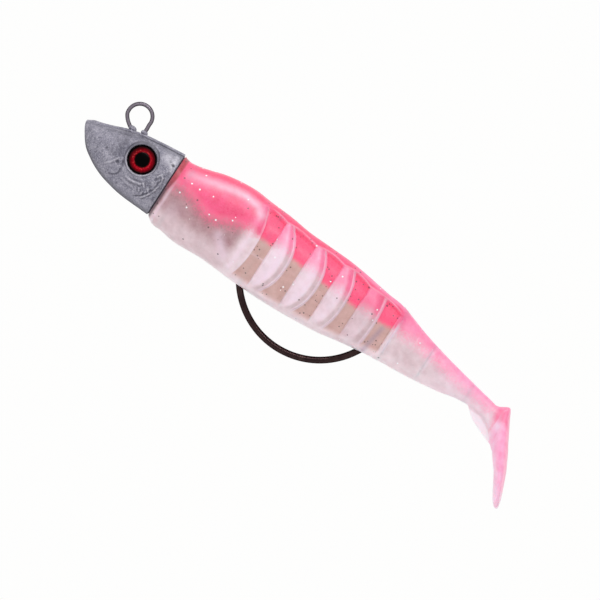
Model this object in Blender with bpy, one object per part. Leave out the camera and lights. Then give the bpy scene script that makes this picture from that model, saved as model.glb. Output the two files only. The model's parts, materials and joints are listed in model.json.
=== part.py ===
"""Articulated jig head lure: cast fish head, wire line tie, offset hook and soft paddle-tail body.

The lure swims along -X: nose towards -X, tail towards +X, back towards +Z, left flank towards -Y.
Lengths are in millimetres and are scaled to metres when a mesh or a curve is made. Design points are
measured from the nose tip, then moved so that the world origin is the centre of the line-tie eye.
"""

import math

import bmesh
import bpy
from mathutils import Matrix, Vector

MM = 0.001
COLLECTION_NAME = "jig_head"

# Driving sizes, in millimetres, measured from the nose tip (x aft, z up).
TIE_CENTRE = (8.9, 7.4)
TIE_EYE_RADIUS = 2.67
HEAD_LENGTH = 21.6
EYE_CENTRE = (14.35, 0.0)
EYE_DIAMETER = 6.1
TIE_WIRE = 0.86
LINK_WIRE = 0.9
LINK_HALF_WIDTH = 1.45
HOOK_WIRE = 1.45
EYE_RING_WIRE = 1.2
HOOK_EYE_RADIUS = 2.1
BEND_CENTRE = (59.25, -0.7)
BEND_RADIUS = 16.95
CROWN_CENTRE = (72.1, -0.7)
CROWN_RADIUS = 4.1
HOOK_TIP = (48.8, 6.3)
RIM_HEIGHT = 0.35
RIM_HALF_WIDTH = 0.45
EYE_RIM_WIDTH = 0.55
EYE_CLEARANCE = 0.15
EYE_STACK_START = 3.7
EYE_PAD_SPAN = (3.78, 4.1)
EYE_FILM_SPAN = (4.16, 4.36)
EYE_DOME_BASE = 4.42
EYE_DOME_EDGE = 0.12
DOME_HEIGHT = 1.15
SLOT_HALF_WIDTH = 1.05
WEB_HALF_THICKNESS = 0.45
SMALL_GAP = 0.1
GAP = 0.3
WEDGE = 0.25
WEDGE_NARROWING = 0.6

# Joint positions.
PITCH_AXIS = (23.6, -1.2)
YAW_AXIS = (26.3, -1.2)
SET_AXIS = (42.0, -10.6)
SWAY_FRONT_X = 83.5
SWAY_REAR_X = 93.0
PADDLE_X = 103.5
TAIL_AXIS_Z = -4.0

# Ends of the soft body's sections.
COLLAR_SPAN = (22.0, 24.7)
SLEEVE_SPAN = (24.9, 41.8)
MID_SPAN = (42.1, SWAY_FRONT_X - GAP)
TAIL_FRONT_SPAN = (SWAY_FRONT_X + GAP, SWAY_REAR_X - GAP)
TAIL_REAR_SPAN = (SWAY_REAR_X + GAP, PADDLE_X - GAP)
STUB_SPAN = (PADDLE_X + GAP, 108.2)

# Outlines of the head, each as (x, value) along its length.
HEAD_TOP = [(0.0, 1.1), (2.0, 1.35), (5.0, 2.4), (8.0, 3.55), (12.0, 4.5), (16.0, 5.05), (21.6, 5.6)]
HEAD_BOTTOM = [
    (0.0, 0.2), (0.6, -0.9), (1.4, -2.2), (2.6, -3.7), (5.0, -5.5), (8.0, -7.1), (12.0, -8.1), (21.6, -8.9),
]
HEAD_HALF_WIDTH = [(0.0, 0.3), (2.5, 1.8), (6.0, 3.1), (11.0, 4.1), (16.0, 4.6), (21.6, 4.8)]

# Outlines of the soft body, from the collar behind the head to the paddle's wrist.
BODY_TOP = [
    (22.0, 5.45), (23.2, 5.25), (25.0, 5.35), (27.5, 6.0), (30.5, 6.9), (34.0, 7.5), (38.0, 7.75), (42.0, 7.4),
    (48.0, 7.0), (52.0, 6.5), (57.0, 6.3), (63.0, 6.05), (67.0, 5.6), (73.0, 4.7), (77.0, 4.25),
    (80.0, 3.25), (84.0, 1.85), (88.0, 0.72), (96.0, -1.05), (103.3, -2.45),
]
BODY_BOTTOM = [
    (22.0, -9.3), (22.8, -9.9), (25.8, -10.3), (28.0, -10.7), (36.0, -10.6), (45.0, -11.1), (55.0, -11.1),
    (60.0, -10.8), (66.0, -10.2), (70.0, -9.55), (75.0, -8.85), (80.0, -8.3), (84.0, -8.05), (92.0, -6.95),
    (99.0, -5.85), (103.3, -6.5),
]
BODY_HALF_WIDTH = [
    (22.0, 5.0), (27.7, 5.7), (36.0, 6.0), (44.5, 5.9), (53.0, 5.6),
    (61.0, 5.1), (70.0, 4.2), (80.0, 3.1), (90.0, 2.2), (98.0, 1.6), (103.3, 1.4),
]
STUB_TOP = [(103.3, -2.45), (105.0, -2.65), (106.2, -2.2), (108.2, -3.6)]
STUB_BOTTOM = [(103.3, -6.5), (105.0, -7.0), (106.5, -8.5), (108.2, -10.1)]
STUB_HALF_WIDTH = [(103.3, 1.4), (105.0, 1.6), (106.6, 2.2), (108.2, 2.8)]

# The paddle's blade from heel to tip: its middle line and half sizes over the fraction of its length.
BLADE_X = [(0.0, 106.9), (0.2, 108.3), (0.43, 110.2), (0.64, 112.7), (0.85, 114.9), (1.0, 116.3)]
BLADE_Z = [(0.0, -1.9), (0.2, -5.8), (0.43, -10.0), (0.64, -14.0), (0.85, -18.0), (1.0, -21.1)]
BLADE_HALF_THICKNESS = [
    (0.0, 0.75), (0.06, 1.25), (0.2, 1.6), (0.43, 1.6), (0.64, 1.35), (0.85, 1.05), (1.0, 0.45),
]
BLADE_HALF_WIDTH = [(0.0, 1.5), (0.08, 2.5), (0.3, 3.8), (0.55, 4.6), (0.75, 4.4), (0.9, 3.3), (1.0, 1.4)]
BLADE_ACROSS = Vector((0.88, 0.47)).normalized()


def smooth_value(points, x):
    """Value at x of a smooth curve through points, a Catmull-Rom curve over uneven steps."""
    if x <= points[0][0]:
        return points[0][1]
    if x >= points[-1][0]:
        return points[-1][1]
    index = max(i for i in range(len(points) - 1) if points[i][0] <= x)
    x0, v0 = points[index]
    x1, v1 = points[index + 1]
    step = (v1 - v0) / (x1 - x0)
    before = points[max(index - 1, 0)]
    after = points[min(index + 2, len(points) - 1)]
    slope0 = (v1 - before[1]) / (x1 - before[0]) if index > 0 else step
    slope1 = (after[1] - v0) / (after[0] - x0) if index + 2 < len(points) else step
    t = (x - x0) / (x1 - x0)
    width = x1 - x0
    return (
        v0 * (2 * t**3 - 3 * t**2 + 1)
        + slope0 * width * (t**3 - 2 * t**2 + t)
        + v1 * (3 * t**2 - 2 * t**3)
        + slope1 * width * (t**3 - t**2)
    )


def world(x, y, z):
    """A design point in world metres, measured from the line-tie eye's centre."""
    return Vector((x - TIE_CENTRE[0], y, z - TIE_CENTRE[1])) * MM


def steps(start, end, count):
    return [start + (end - start) * i / count for i in range(count + 1)]


def oval(x, top, bottom, half_width, count, power=2.2):
    """One upright cross-section at x: a superellipse of count points."""
    middle = (top + bottom) / 2
    half_height = (top - bottom) / 2
    ring = []
    for i in range(count):
        angle = 2 * math.pi * i / count
        c = math.cos(angle)
        s = math.sin(angle)
        y = half_width * math.copysign(abs(c) ** (2 / power), c)
        z = middle + half_height * math.copysign(abs(s) ** (2 / power), s)
        ring.append((x, y, z))
    return ring


def clear_scene():
    for thing in list(bpy.data.objects):
        bpy.data.objects.remove(thing, do_unlink=True)


def make_collection(name):
    collection = bpy.data.collections.new(name)
    bpy.context.scene.collection.children.link(collection)
    return collection


def make_material(name, colour, roughness, metallic=0.0):
    material = bpy.data.materials.new(name)
    material.use_nodes = True
    shader = material.node_tree.nodes["Principled BSDF"]
    shader.inputs["Base Color"].default_value = (*colour, 1.0)
    shader.inputs["Roughness"].default_value = roughness
    shader.inputs["Metallic"].default_value = metallic
    material.diffuse_color = (*colour, 1.0)
    return material


def add_mesh_object(name, mesh, collection):
    thing = bpy.data.objects.new(name, mesh)
    collection.objects.link(thing)
    return thing


def loft(name, rings, collection):
    """A closed solid through rings of equal point counts, with a flat cap on each end."""
    form = bmesh.new()
    loops = [[form.verts.new(world(*point)) for point in ring] for ring in rings]
    count = len(loops[0])
    for first, second in zip(loops, loops[1:]):
        for i in range(count):
            j = (i + 1) % count
            form.faces.new((first[i], first[j], second[j], second[i]))
    form.faces.new(loops[0])
    form.faces.new(loops[-1])
    bmesh.ops.recalc_face_normals(form, faces=form.faces)
    mesh = bpy.data.meshes.new(name)
    form.to_mesh(mesh)
    form.free()
    return add_mesh_object(name, mesh, collection)


def curve_to_mesh(curve_object, collection):
    """Replace a curve object by its mesh, with the loose caps welded on."""
    name = curve_object.name
    bpy.context.view_layer.update()
    evaluated = curve_object.evaluated_get(bpy.context.evaluated_depsgraph_get())
    mesh = bpy.data.meshes.new_from_object(evaluated)
    form = bmesh.new()
    form.from_mesh(mesh)
    bmesh.ops.remove_doubles(form, verts=form.verts, dist=0.00001)
    bmesh.ops.recalc_face_normals(form, faces=form.faces)
    form.to_mesh(mesh)
    form.free()
    matrix = curve_object.matrix_world.copy()
    bpy.data.objects.remove(curve_object, do_unlink=True)
    mesh.name = name
    thing = add_mesh_object(name, mesh, collection)
    thing.matrix_world = matrix
    return thing


def wire(name, points, diameter, collection, resolution=2, closed=False, taper=None):
    """A round wire through design points; taper gives the radius factor at each point."""
    curve = bpy.data.curves.new(name, "CURVE")
    curve.dimensions = "3D"
    curve.bevel_depth = diameter / 2 * MM
    curve.bevel_resolution = resolution
    curve.use_fill_caps = not closed
    spline = curve.splines.new("POLY")
    spline.points.add(len(points) - 1)
    for i, (spot, point) in enumerate(zip(spline.points, points)):
        spot.co = (*world(*point), 1.0)
        spot.radius = taper[i] if taper else 1.0
    spline.use_cyclic_u = closed
    thing = bpy.data.objects.new(name, curve)
    collection.objects.link(thing)
    return curve_to_mesh(thing, collection)


def plate(name, outline, half_thickness, collection):
    """A flat plate in the lure's middle plane, from an outline of (x, z) design points."""
    curve = bpy.data.curves.new(name, "CURVE")
    curve.dimensions = "2D"
    curve.fill_mode = "BOTH"
    curve.extrude = half_thickness * MM
    spline = curve.splines.new("POLY")
    spline.points.add(len(outline) - 1)
    for spot, (x, z) in zip(spline.points, outline):
        place = world(x, 0.0, z)
        spot.co = (place.x, place.z, 0.0, 1.0)
    spline.use_cyclic_u = True
    thing = bpy.data.objects.new(name, curve)
    thing.rotation_euler = (math.radians(90), 0.0, 0.0)
    collection.objects.link(thing)
    return curve_to_mesh(thing, collection)


def disc(name, centre, diameter, y_span, collection, segments=40):
    """A short cylinder with its axis along Y, between two y values."""
    form = bmesh.new()
    depth = abs(y_span[1] - y_span[0])
    turn = Matrix.Rotation(math.radians(90), 4, "X")
    middle = world(centre[0], sum(y_span) / 2, centre[1])
    bmesh.ops.create_cone(
        form,
        cap_ends=True,
        segments=segments,
        radius1=diameter / 2 * MM,
        radius2=diameter / 2 * MM,
        depth=depth * MM,
        matrix=Matrix.Translation(middle) @ turn,
    )
    bmesh.ops.recalc_face_normals(form, faces=form.faces)
    mesh = bpy.data.meshes.new(name)
    form.to_mesh(mesh)
    form.free()
    return add_mesh_object(name, mesh, collection)


def box(name, low, high, collection):
    form = bmesh.new()
    centre = world(*[(a + b) / 2 for a, b in zip(low, high)])
    size = Vector([(b - a) * MM for a, b in zip(low, high)])
    bmesh.ops.create_cube(form, size=1.0, matrix=Matrix.Translation(centre) @ Matrix.Diagonal((*size, 1.0)))
    mesh = bpy.data.meshes.new(name)
    form.to_mesh(mesh)
    form.free()
    return add_mesh_object(name, mesh, collection)


def combine(target, tool, operation):
    """Add or cut with a tool object, which stays in the file as a hidden guide."""
    modifier = target.modifiers.new(tool.name, "BOOLEAN")
    modifier.operation = operation
    modifier.object = tool
    modifier.solver = "EXACT"
    tool.hide_render = True
    tool.display_type = "WIRE"


def smooth_path(points, pieces=6):
    """A finer path through (x, z) points, as a Catmull-Rom curve."""
    path = []
    ends = [Vector(point) for point in [points[0]] + points + [points[-1]]]
    for a, b, c, d in zip(ends, ends[1:], ends[2:], ends[3:]):
        for i in range(pieces):
            t = i / pieces
            square = (2 * a - 5 * b + 4 * c - d) * t**2
            cube = (3 * b - a - 3 * c + d) * t**3
            path.append(tuple(0.5 * (2 * b + (c - a) * t + square + cube)))
    path.append(points[-1])
    return path


def arc(centre, radius, start, end, count):
    """Points on a circle in the XZ plane, between two angles in degrees."""
    return [
        (centre[0] + radius * math.cos(math.radians(a)), centre[1] + radius * math.sin(math.radians(a)))
        for a in steps(start, end, count)
    ]


def in_middle_plane(path):
    return [(x, 0.0, z) for x, z in path]


def head_ring(x, count=40):
    top = smooth_value(HEAD_TOP, x)
    bottom = smooth_value(HEAD_BOTTOM, x)
    return oval(x, top, bottom, smooth_value(HEAD_HALF_WIDTH, x), count, 2.4)


def tie_wire_path():
    """Anchor kink, line-tie eye, run through the casting and hanger loop behind the head."""
    front_leg = [(5.8, 1.3), (7.2, 0.9), (8.6, 1.6), (9.3, 3.0), (8.95, 4.1), (8.1, 4.7), (7.15, 5.45)]
    eye = arc(TIE_CENTRE, TIE_EYE_RADIUS, 202, -10, 14)
    rear_leg = [(11.6, 5.8), (11.5, 4.6), (11.7, 3.3), (12.7, 2.2), (14.6, 1.4), (17.5, 1.1), (21.2, 1.05)]
    hanger = arc((22.35, -1.2), 2.25, 90, -90, 10)
    tail_end = [(21.2, -3.45), (18.6, -3.3), (17.0, -4.3), (15.6, -3.6)]
    return front_leg + eye + rear_leg + hanger + tail_end


def link_path():
    """Long round-ended loop in the XY plane, joining the hanger to the hook's eye."""
    half_width = LINK_HALF_WIDTH
    front_x = PITCH_AXIS[0]
    rear_x = 27.5
    points = []
    for angle in steps(90, 270, 10):
        x = front_x + half_width + half_width * math.cos(math.radians(angle))
        points.append((x, half_width * math.sin(math.radians(angle)), PITCH_AXIS[1]))
    for angle in steps(-90, 90, 10):
        x = rear_x - half_width + half_width * math.cos(math.radians(angle))
        points.append((x, half_width * math.sin(math.radians(angle)), PITCH_AXIS[1]))
    return points


def hook_path():
    """Ring eye, shank, offset bend, wide bend under the belly and point lying along the back."""
    ring = arc((YAW_AXIS[0] + HOOK_EYE_RADIUS, YAW_AXIS[1]), HOOK_EYE_RADIUS, 52, 318, 18)
    neck = smooth_path([ring[-1], (31.0, -1.75), (32.4, -1.25), (34.2, -1.2), (38.2, -1.3)], 4)[1:]
    offset = smooth_path([(38.9, -1.45), (40.1, -2.25), (41.3, -3.7), (44.75, -9.5)], 4)
    bend = arc(BEND_CENTRE, BEND_RADIUS, -146, 0, 34)
    crown = arc(CROWN_CENTRE, CROWN_RADIUS, 8, 82, 8)
    point_start = crown[-1]
    fractions = (0.25, 0.5, 0.72, 0.8, 0.88, 0.95, 1.0)
    spear = [tuple(a + (b - a) * t for a, b in zip(point_start, HOOK_TIP)) for t in fractions]
    path = ring + neck + offset + bend + crown + spear
    ring_factor = EYE_RING_WIRE / HOOK_WIRE
    factors = []
    for i, (x, z) in enumerate(path):
        factor = 1.0
        if i < len(ring):
            factor = ring_factor
        if i >= len(path) - 5:
            factor = (1.0, 0.86, 0.62, 0.35, 0.08)[i - len(path) + 5]
        factors.append(factor)
    return path, factors


def make_head(parts, cutters, wire_points):
    head = loft("head_casting", [head_ring(x) for x in steps(0.0, HEAD_LENGTH, 22)], parts)
    stations = steps(1.5, HEAD_LENGTH - 0.6, 14)
    over = [(x, smooth_value(HEAD_TOP, x) + RIM_HEIGHT) for x in stations]
    under = [(x, smooth_value(HEAD_BOTTOM, x) - RIM_HEIGHT * 0.6) for x in reversed(stations)]
    combine(head, plate("parting_rim", over + under, RIM_HALF_WIDTH, cutters), "UNION")
    for side, name in ((-1, "left"), (1, "right")):
        boss_span = (side * 2.5, side * 4.72)
        boss = disc(f"eye_boss_{name}", EYE_CENTRE, EYE_DIAMETER + 2 * EYE_RIM_WIDTH, boss_span, cutters)
        combine(head, boss, "UNION")
    for side, name in ((-1, "left"), (1, "right")):
        socket_span = (side * EYE_STACK_START, side * 6.5)
        socket = disc(f"eye_socket_{name}", EYE_CENTRE, EYE_DIAMETER + 2 * EYE_CLEARANCE, socket_span, cutters)
        combine(head, socket, "DIFFERENCE")
    channel = wire("wire_channel", wire_points, TIE_WIRE + 2 * SMALL_GAP, cutters)
    combine(head, channel, "DIFFERENCE")
    return head


def make_eye(side, name, parts):
    """Adhesive pad, printed iris film and clear resin dome, stacked outwards in the socket."""
    pad_span = [side * y for y in EYE_PAD_SPAN]
    film_span = [side * y for y in EYE_FILM_SPAN]
    pad = disc(f"eye_pad_{name}", EYE_CENTRE, EYE_DIAMETER, pad_span, parts)
    iris = disc(f"eye_iris_{name}", EYE_CENTRE, EYE_DIAMETER, film_span, parts)
    rings = []
    for angle in (0, 6, 22, 40, 60, 78):
        tilt = math.radians(angle)
        radius = EYE_DIAMETER / 2 * math.cos(tilt)
        y = EYE_DOME_BASE
        if angle:
            y += EYE_DOME_EDGE + DOME_HEIGHT * math.sin(tilt)
        rings.append([
            (EYE_CENTRE[0] + radius * math.cos(a), side * y, EYE_CENTRE[1] + radius * math.sin(a))
            for a in steps(0.0, 2 * math.pi, 40)[:-1]
        ])
    dome = loft(f"eye_dome_{name}", rings, parts)
    return [pad, iris, dome]


def body_ring(x, narrowing=1.0, count=32):
    top = smooth_value(BODY_TOP, x)
    bottom = smooth_value(BODY_BOTTOM, x)
    return oval(x, top, bottom, smooth_value(BODY_HALF_WIDTH, x) * narrowing, count)


def body_section(name, span, count, parts, wedge_front=0.0, wedge_rear=0.0):
    """A stretch of the soft body. A wedge leaves room at an end for bending sideways."""
    start, end = span
    rings = []
    if wedge_front:
        rings.append(body_ring(start, WEDGE_NARROWING))
        start += wedge_front
    inner_end = end - wedge_rear
    rings += [body_ring(x) for x in steps(start, inner_end, count)]
    if wedge_rear:
        rings.append(body_ring(end, WEDGE_NARROWING))
    return loft(name, rings, parts)


def make_soft_front(parts, cutters, hook_points):
    """Collar behind the head and the sleeve around the hook's eye and shank."""
    collar = body_section("nose_collar", COLLAR_SPAN, 3, parts)
    sleeve = body_section("front_sleeve", SLEEVE_SPAN, 12, parts)
    pocket = box("hook_eye_pocket", (21.0, -3.1, -5.3), (31.6, 3.1, 2.9), cutters)
    combine(collar, pocket, "DIFFERENCE")
    combine(sleeve, pocket, "DIFFERENCE")
    shank_points = [p for p in hook_points if p[0] > 30.9]
    channel = wire("shank_channel", shank_points, HOOK_WIRE + 2 * GAP, cutters)
    combine(sleeve, channel, "DIFFERENCE")
    return collar, sleeve


def make_mid_body(parts, cutters):
    """Ribbed middle of the body, slit at the belly and along the back so that the hook can rise."""
    middle = body_section("mid_body", MID_SPAN, 20, parts, wedge_rear=WEDGE)
    belly_slit = [(40.5, -0.6), (43.2, -2.2), (50.8, -8.6), (50.8, -14.0), (40.5, -14.0)]
    back_slit = [
        (66.0, -14.0), (77.4, -14.0), (77.4, 11.0), (45.6, 11.0),
        (45.6, 5.6), (60.0, 3.85), (69.6, 2.2), (69.6, -4.5), (66.0, -8.5),
    ]
    combine(middle, plate("belly_slit", belly_slit, SLOT_HALF_WIDTH, cutters), "DIFFERENCE")
    combine(middle, plate("back_slit", back_slit, SLOT_HALF_WIDTH, cutters), "DIFFERENCE")
    return middle


def blade_ring(t, count=28):
    """Section of the paddle's blade at the fraction t from heel to tip."""
    centre = Vector((smooth_value(BLADE_X, t), smooth_value(BLADE_Z, t)))
    thickness = smooth_value(BLADE_HALF_THICKNESS, t)
    width = smooth_value(BLADE_HALF_WIDTH, t)
    ring = []
    for i in range(count):
        angle = 2 * math.pi * i / count
        offset = BLADE_ACROSS * (thickness * math.sin(angle))
        ring.append((centre.x + offset.x, width * math.cos(angle), centre.y + offset.y))
    return ring


def make_paddle(parts, cutters):
    paddle = loft("paddle", [blade_ring(t) for t in steps(0.0, 1.0, 16)], parts)
    rings = [oval(STUB_SPAN[0], -2.6, -6.5, 0.8, 24)]
    for x in steps(STUB_SPAN[0] + WEDGE, STUB_SPAN[1], 6):
        top = smooth_value(STUB_TOP, x)
        bottom = smooth_value(STUB_BOTTOM, x)
        rings.append(oval(x, top, bottom, smooth_value(STUB_HALF_WIDTH, x), 24))
    combine(paddle, loft("paddle_stub", rings, cutters), "UNION")
    return paddle


def make_tail_web(parts):
    """Thin fin below the wrist, between the stem and the paddle."""
    outline = [
        (99.7, -6.15), (103.2, -6.8), (104.7, -7.3), (106.1, -8.9), (107.3, -10.2),
        (105.2, -9.6), (103.0, -8.6), (101.0, -7.4),
    ]
    return plate("tail_web", outline, WEB_HALF_THICKNESS, parts)


def add_joint_frame(name, place, parent, collection):
    """An empty on a joint's axis, which carries the pieces that move with it."""
    frame = bpy.data.objects.new(name, None)
    frame.empty_display_size = 3 * MM
    collection.objects.link(frame)
    frame.location = world(place[0], 0.0, place[1])
    if parent:
        frame.parent = parent
        frame.location = frame.location - world_location(parent)
    return frame


def world_location(frame):
    """Where an unturned frame sits in the world."""
    place = frame.location.copy()
    if frame.parent:
        place += world_location(frame.parent)
    return place


def carry(frame, pieces):
    """Parent pieces to a joint frame without moving them."""
    for piece in pieces:
        piece.parent = frame
        piece.matrix_parent_inverse = Matrix.Translation(-world_location(frame))


def finish(piece, material, sharp_angle=35.0):
    piece.data.materials.clear()
    piece.data.materials.append(material)
    piece.data.shade_smooth()
    piece.data.set_sharp_from_angle(angle=math.radians(sharp_angle))


def build():
    clear_scene()
    parts = make_collection(COLLECTION_NAME)
    cutters = make_collection(COLLECTION_NAME + "_cutters")

    wire_points = in_middle_plane(smooth_path(tie_wire_path(), 2))
    head = make_head(parts, cutters, wire_points)
    tie_wire = wire("line_tie_wire", wire_points, TIE_WIRE, parts)
    eyes = make_eye(-1, "left", parts) + make_eye(1, "right", parts)
    link = wire("hook_link", link_path(), LINK_WIRE, parts, closed=True)
    path, factors = hook_path()
    hook_points = in_middle_plane(path)
    hook = wire("hook", hook_points, HOOK_WIRE, parts, resolution=3, taper=factors)
    collar, sleeve = make_soft_front(parts, cutters, hook_points)
    middle = make_mid_body(parts, cutters)
    tail_front = body_section("tail_front", TAIL_FRONT_SPAN, 6, parts, WEDGE, WEDGE)
    tail_rear = body_section("tail_rear", TAIL_REAR_SPAN, 6, parts, WEDGE, WEDGE)
    paddle = make_paddle(parts, cutters)
    web = make_tail_web(parts)

    metal = make_material("cast_metal", (0.30, 0.30, 0.34), 0.42, 0.9)
    steel = make_material("tie_wire_steel", (0.34, 0.32, 0.34), 0.25, 1.0)
    black_nickel = make_material("hook_black_nickel", (0.035, 0.03, 0.04), 0.18, 1.0)
    finish(head, metal)
    finish(tie_wire, steel)
    finish(link, make_material("link_steel", (0.40, 0.39, 0.40), 0.25, 1.0))
    finish(hook, black_nickel)
    eye_looks = [
        ("pad", (0.75, 0.75, 0.72), 0.8),
        ("iris", (0.55, 0.01, 0.03), 0.3),
        ("dome", (0.8, 0.75, 0.75), 0.03),
    ]
    for piece, (kind, colour, roughness) in zip(eyes, eye_looks * 2):
        finish(piece, make_material(f"eye_{kind}", colour, roughness))
    soft_looks = [
        (collar, (0.95, 0.35, 0.50)), (sleeve, (0.92, 0.33, 0.48)), (middle, (0.90, 0.42, 0.50)),
        (tail_front, (0.92, 0.40, 0.52)), (tail_rear, (0.94, 0.40, 0.55)),
        (web, (0.90, 0.75, 0.78)), (paddle, (1.0, 0.30, 0.52)),
    ]
    for piece, colour in soft_looks:
        finish(piece, make_material(f"soft_{piece.name}", colour, 0.3))

    pitch = add_joint_frame("head_pitch_frame", PITCH_AXIS, None, parts)
    yaw = add_joint_frame("head_yaw_frame", YAW_AXIS, pitch, parts)
    hook_set = add_joint_frame("hook_set_frame", SET_AXIS, yaw, parts)
    sway_front = add_joint_frame("tail_sway_front_frame", (SWAY_FRONT_X, TAIL_AXIS_Z), hook_set, parts)
    sway_rear = add_joint_frame("tail_sway_rear_frame", (SWAY_REAR_X, TAIL_AXIS_Z), sway_front, parts)
    flap = add_joint_frame("paddle_flap_frame", (PADDLE_X, TAIL_AXIS_Z), sway_rear, parts)
    carry(pitch, [link, collar])
    carry(yaw, [hook, sleeve])
    carry(hook_set, [middle])
    carry(sway_front, [tail_front])
    carry(sway_rear, [tail_rear, web])
    carry(flap, [paddle])


build()
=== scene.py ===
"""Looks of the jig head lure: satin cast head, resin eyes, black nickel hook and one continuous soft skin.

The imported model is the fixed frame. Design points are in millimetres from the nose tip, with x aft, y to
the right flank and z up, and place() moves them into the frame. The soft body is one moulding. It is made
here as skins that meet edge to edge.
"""

import functools
import json
import math

import bpy
import numpy as np
from mathutils import Matrix, Vector


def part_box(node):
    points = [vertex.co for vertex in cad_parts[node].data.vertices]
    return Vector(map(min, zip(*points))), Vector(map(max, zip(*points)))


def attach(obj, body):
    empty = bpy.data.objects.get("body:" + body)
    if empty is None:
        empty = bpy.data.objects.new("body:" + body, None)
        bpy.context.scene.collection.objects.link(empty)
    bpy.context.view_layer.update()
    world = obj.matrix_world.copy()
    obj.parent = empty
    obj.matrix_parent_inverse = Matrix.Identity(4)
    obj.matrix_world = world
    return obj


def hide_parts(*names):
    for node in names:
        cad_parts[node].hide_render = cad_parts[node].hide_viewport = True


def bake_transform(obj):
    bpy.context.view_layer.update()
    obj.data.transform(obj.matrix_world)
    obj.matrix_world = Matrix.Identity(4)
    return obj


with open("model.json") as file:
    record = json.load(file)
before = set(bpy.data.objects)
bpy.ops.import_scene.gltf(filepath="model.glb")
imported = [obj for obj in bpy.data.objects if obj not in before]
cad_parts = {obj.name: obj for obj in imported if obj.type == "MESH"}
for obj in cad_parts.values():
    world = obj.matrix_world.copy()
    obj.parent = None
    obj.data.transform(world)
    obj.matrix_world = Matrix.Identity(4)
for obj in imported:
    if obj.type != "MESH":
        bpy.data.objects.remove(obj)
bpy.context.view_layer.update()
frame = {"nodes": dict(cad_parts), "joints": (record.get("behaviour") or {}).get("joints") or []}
MM = 0.001


def joint_place(name):
    """Where a joint's axis passes, in metres."""
    return Vector(next(j["pos_m"] for j in frame["joints"] if j["name"] == name))


# The two numbers that tie design points to the frame.
PITCH_HEIGHT = -1.2
NOSE = Vector((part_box("head_casting")[0].x, 0.0, joint_place("head_pitch").z - PITCH_HEIGHT * MM))

# Outlines along the head, each as (x, value).
HEAD_LENGTH = 21.6
HEAD_TOP = [
    (0.0, 1.25), (0.4, 1.45), (2.0, 1.78), (5.0, 2.7), (8.0, 3.85), (12.0, 4.85), (16.0, 5.4), (21.6, 5.95),
]
HEAD_BOTTOM = [
    (0.0, 0.1), (0.25, -0.6), (0.6, -1.2), (1.4, -2.35), (2.6, -3.85), (5.0, -5.65), (8.0, -7.15),
    (12.0, -8.25), (21.6, -9.05),
]
HEAD_HALF_WIDTH = [(0.0, 0.25), (2.5, 1.8), (6.0, 3.1), (11.0, 4.1), (16.0, 4.6), (21.6, 4.8)]
RIM_HEIGHT = 0.4
RIM_HALF_WIDTH = 0.85
EYE_CENTRE = (14.35, 0.0)
EYE_RADIUS = 3.05
SOCKET_FLOOR = 3.72
DOME_BASE = 4.46
DOME_HEIGHT = 1.15
RINGS_OFFSET = 0.06

# Wires.
TIE_CENTRE = (8.9, 7.4)
TIE_EYE_RADIUS = 2.67
TIE_WIRE = 0.86
LINK_WIRE = 0.9
LINK_HALF_WIDTH = 1.45
PITCH_X = 23.6
YAW_X = 26.3
LINK_END_X = 27.5
HOOK_WIRE = 1.45
EYE_RING_WIRE = 1.2
HOOK_EYE_RADIUS = 2.1
BEND_CENTRE = (59.25, -0.7)
BEND_RADIUS = 16.95
CROWN_CENTRE = (72.1, -0.7)
CROWN_RADIUS = 4.1
HOOK_TIP = (48.8, 6.3)

# Outlines along the soft body, from the lip behind the head to the paddle's wrist.
BODY_TOP = [
    (21.6, 5.62), (22.3, 5.35), (23.0, 5.2), (24.5, 5.3), (27.5, 6.0), (30.5, 6.9), (34.0, 7.5), (38.0, 7.75),
    (42.0, 7.4), (48.0, 7.0), (52.0, 6.5), (57.0, 6.3), (63.0, 6.05), (67.0, 5.6), (73.0, 4.7), (77.0, 4.25),
    (80.0, 3.27), (84.0, 1.92), (88.0, 0.84), (96.0, -0.96), (103.3, -2.4),
]
BODY_BOTTOM = [
    (21.6, -8.95), (22.3, -9.5), (22.8, -9.85), (25.8, -10.3), (28.0, -10.7), (36.0, -10.6), (45.0, -11.1),
    (55.0, -11.1), (60.0, -10.8), (66.0, -10.2), (70.0, -9.55), (75.0, -8.85), (80.0, -8.3), (84.0, -8.05),
    (92.0, -7.1), (99.0, -5.95), (103.3, -6.5),
]
BODY_HALF_WIDTH = [
    (21.6, 4.7), (23.0, 5.1), (27.7, 5.7), (36.0, 6.0), (44.5, 5.9), (53.0, 5.6),
    (61.0, 5.1), (70.0, 4.2), (80.0, 3.1), (90.0, 2.2), (98.0, 1.6), (103.3, 1.4),
]

# Ribs: x of the steep front wall, x of the curved rear edge at mid height, and how far that edge curves.
RIBS = [(40.4, 44.1, 1.5), (47.1, 52.1, 3.0), (54.9, 59.8, 2.8), (61.9, 66.5, 2.1), (69.0, 74.0, 1.0)]
LAST_WALL = 77.6
WINDOW_DEPTH = 0.8
CREST = 0.56
# How strong the painted highlight on each rib's crest is.
CREST_STRENGTH = [1.0, 1.0, 0.9, 0.65, 0.25]
EDGE_MIDDLE = -2.7
EDGE_HALF_HEIGHT = 8.0

# Where the skins meet.
SEAM_COLLAR = 24.7
SEAM_RIBBED = 45.4
SEAM_STEM = 78.5
SEAM_GROOVE = 87.3
SEAM_PADDLE = 98.4
SEAM_STEP = 0.1
RING_POINTS = 240
BODY_POWER = 2.35
SLOT_HALF_WIDTH = 0.86

# Height of the line between the pink back and the pearl belly.
PINK_LINE = [
    (21.8, -0.9), (26.0, -1.0), (30.0, -2.2), (33.0, -2.8), (36.0, -1.8), (40.0, -0.4), (47.0, -0.3),
    (53.0, -0.3), (60.0, -0.9), (67.0, -1.5), (76.0, -1.3), (80.0, -1.0), (88.0, -1.8), (96.0, -3.4),
    (104.0, -4.6),
]


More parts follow.
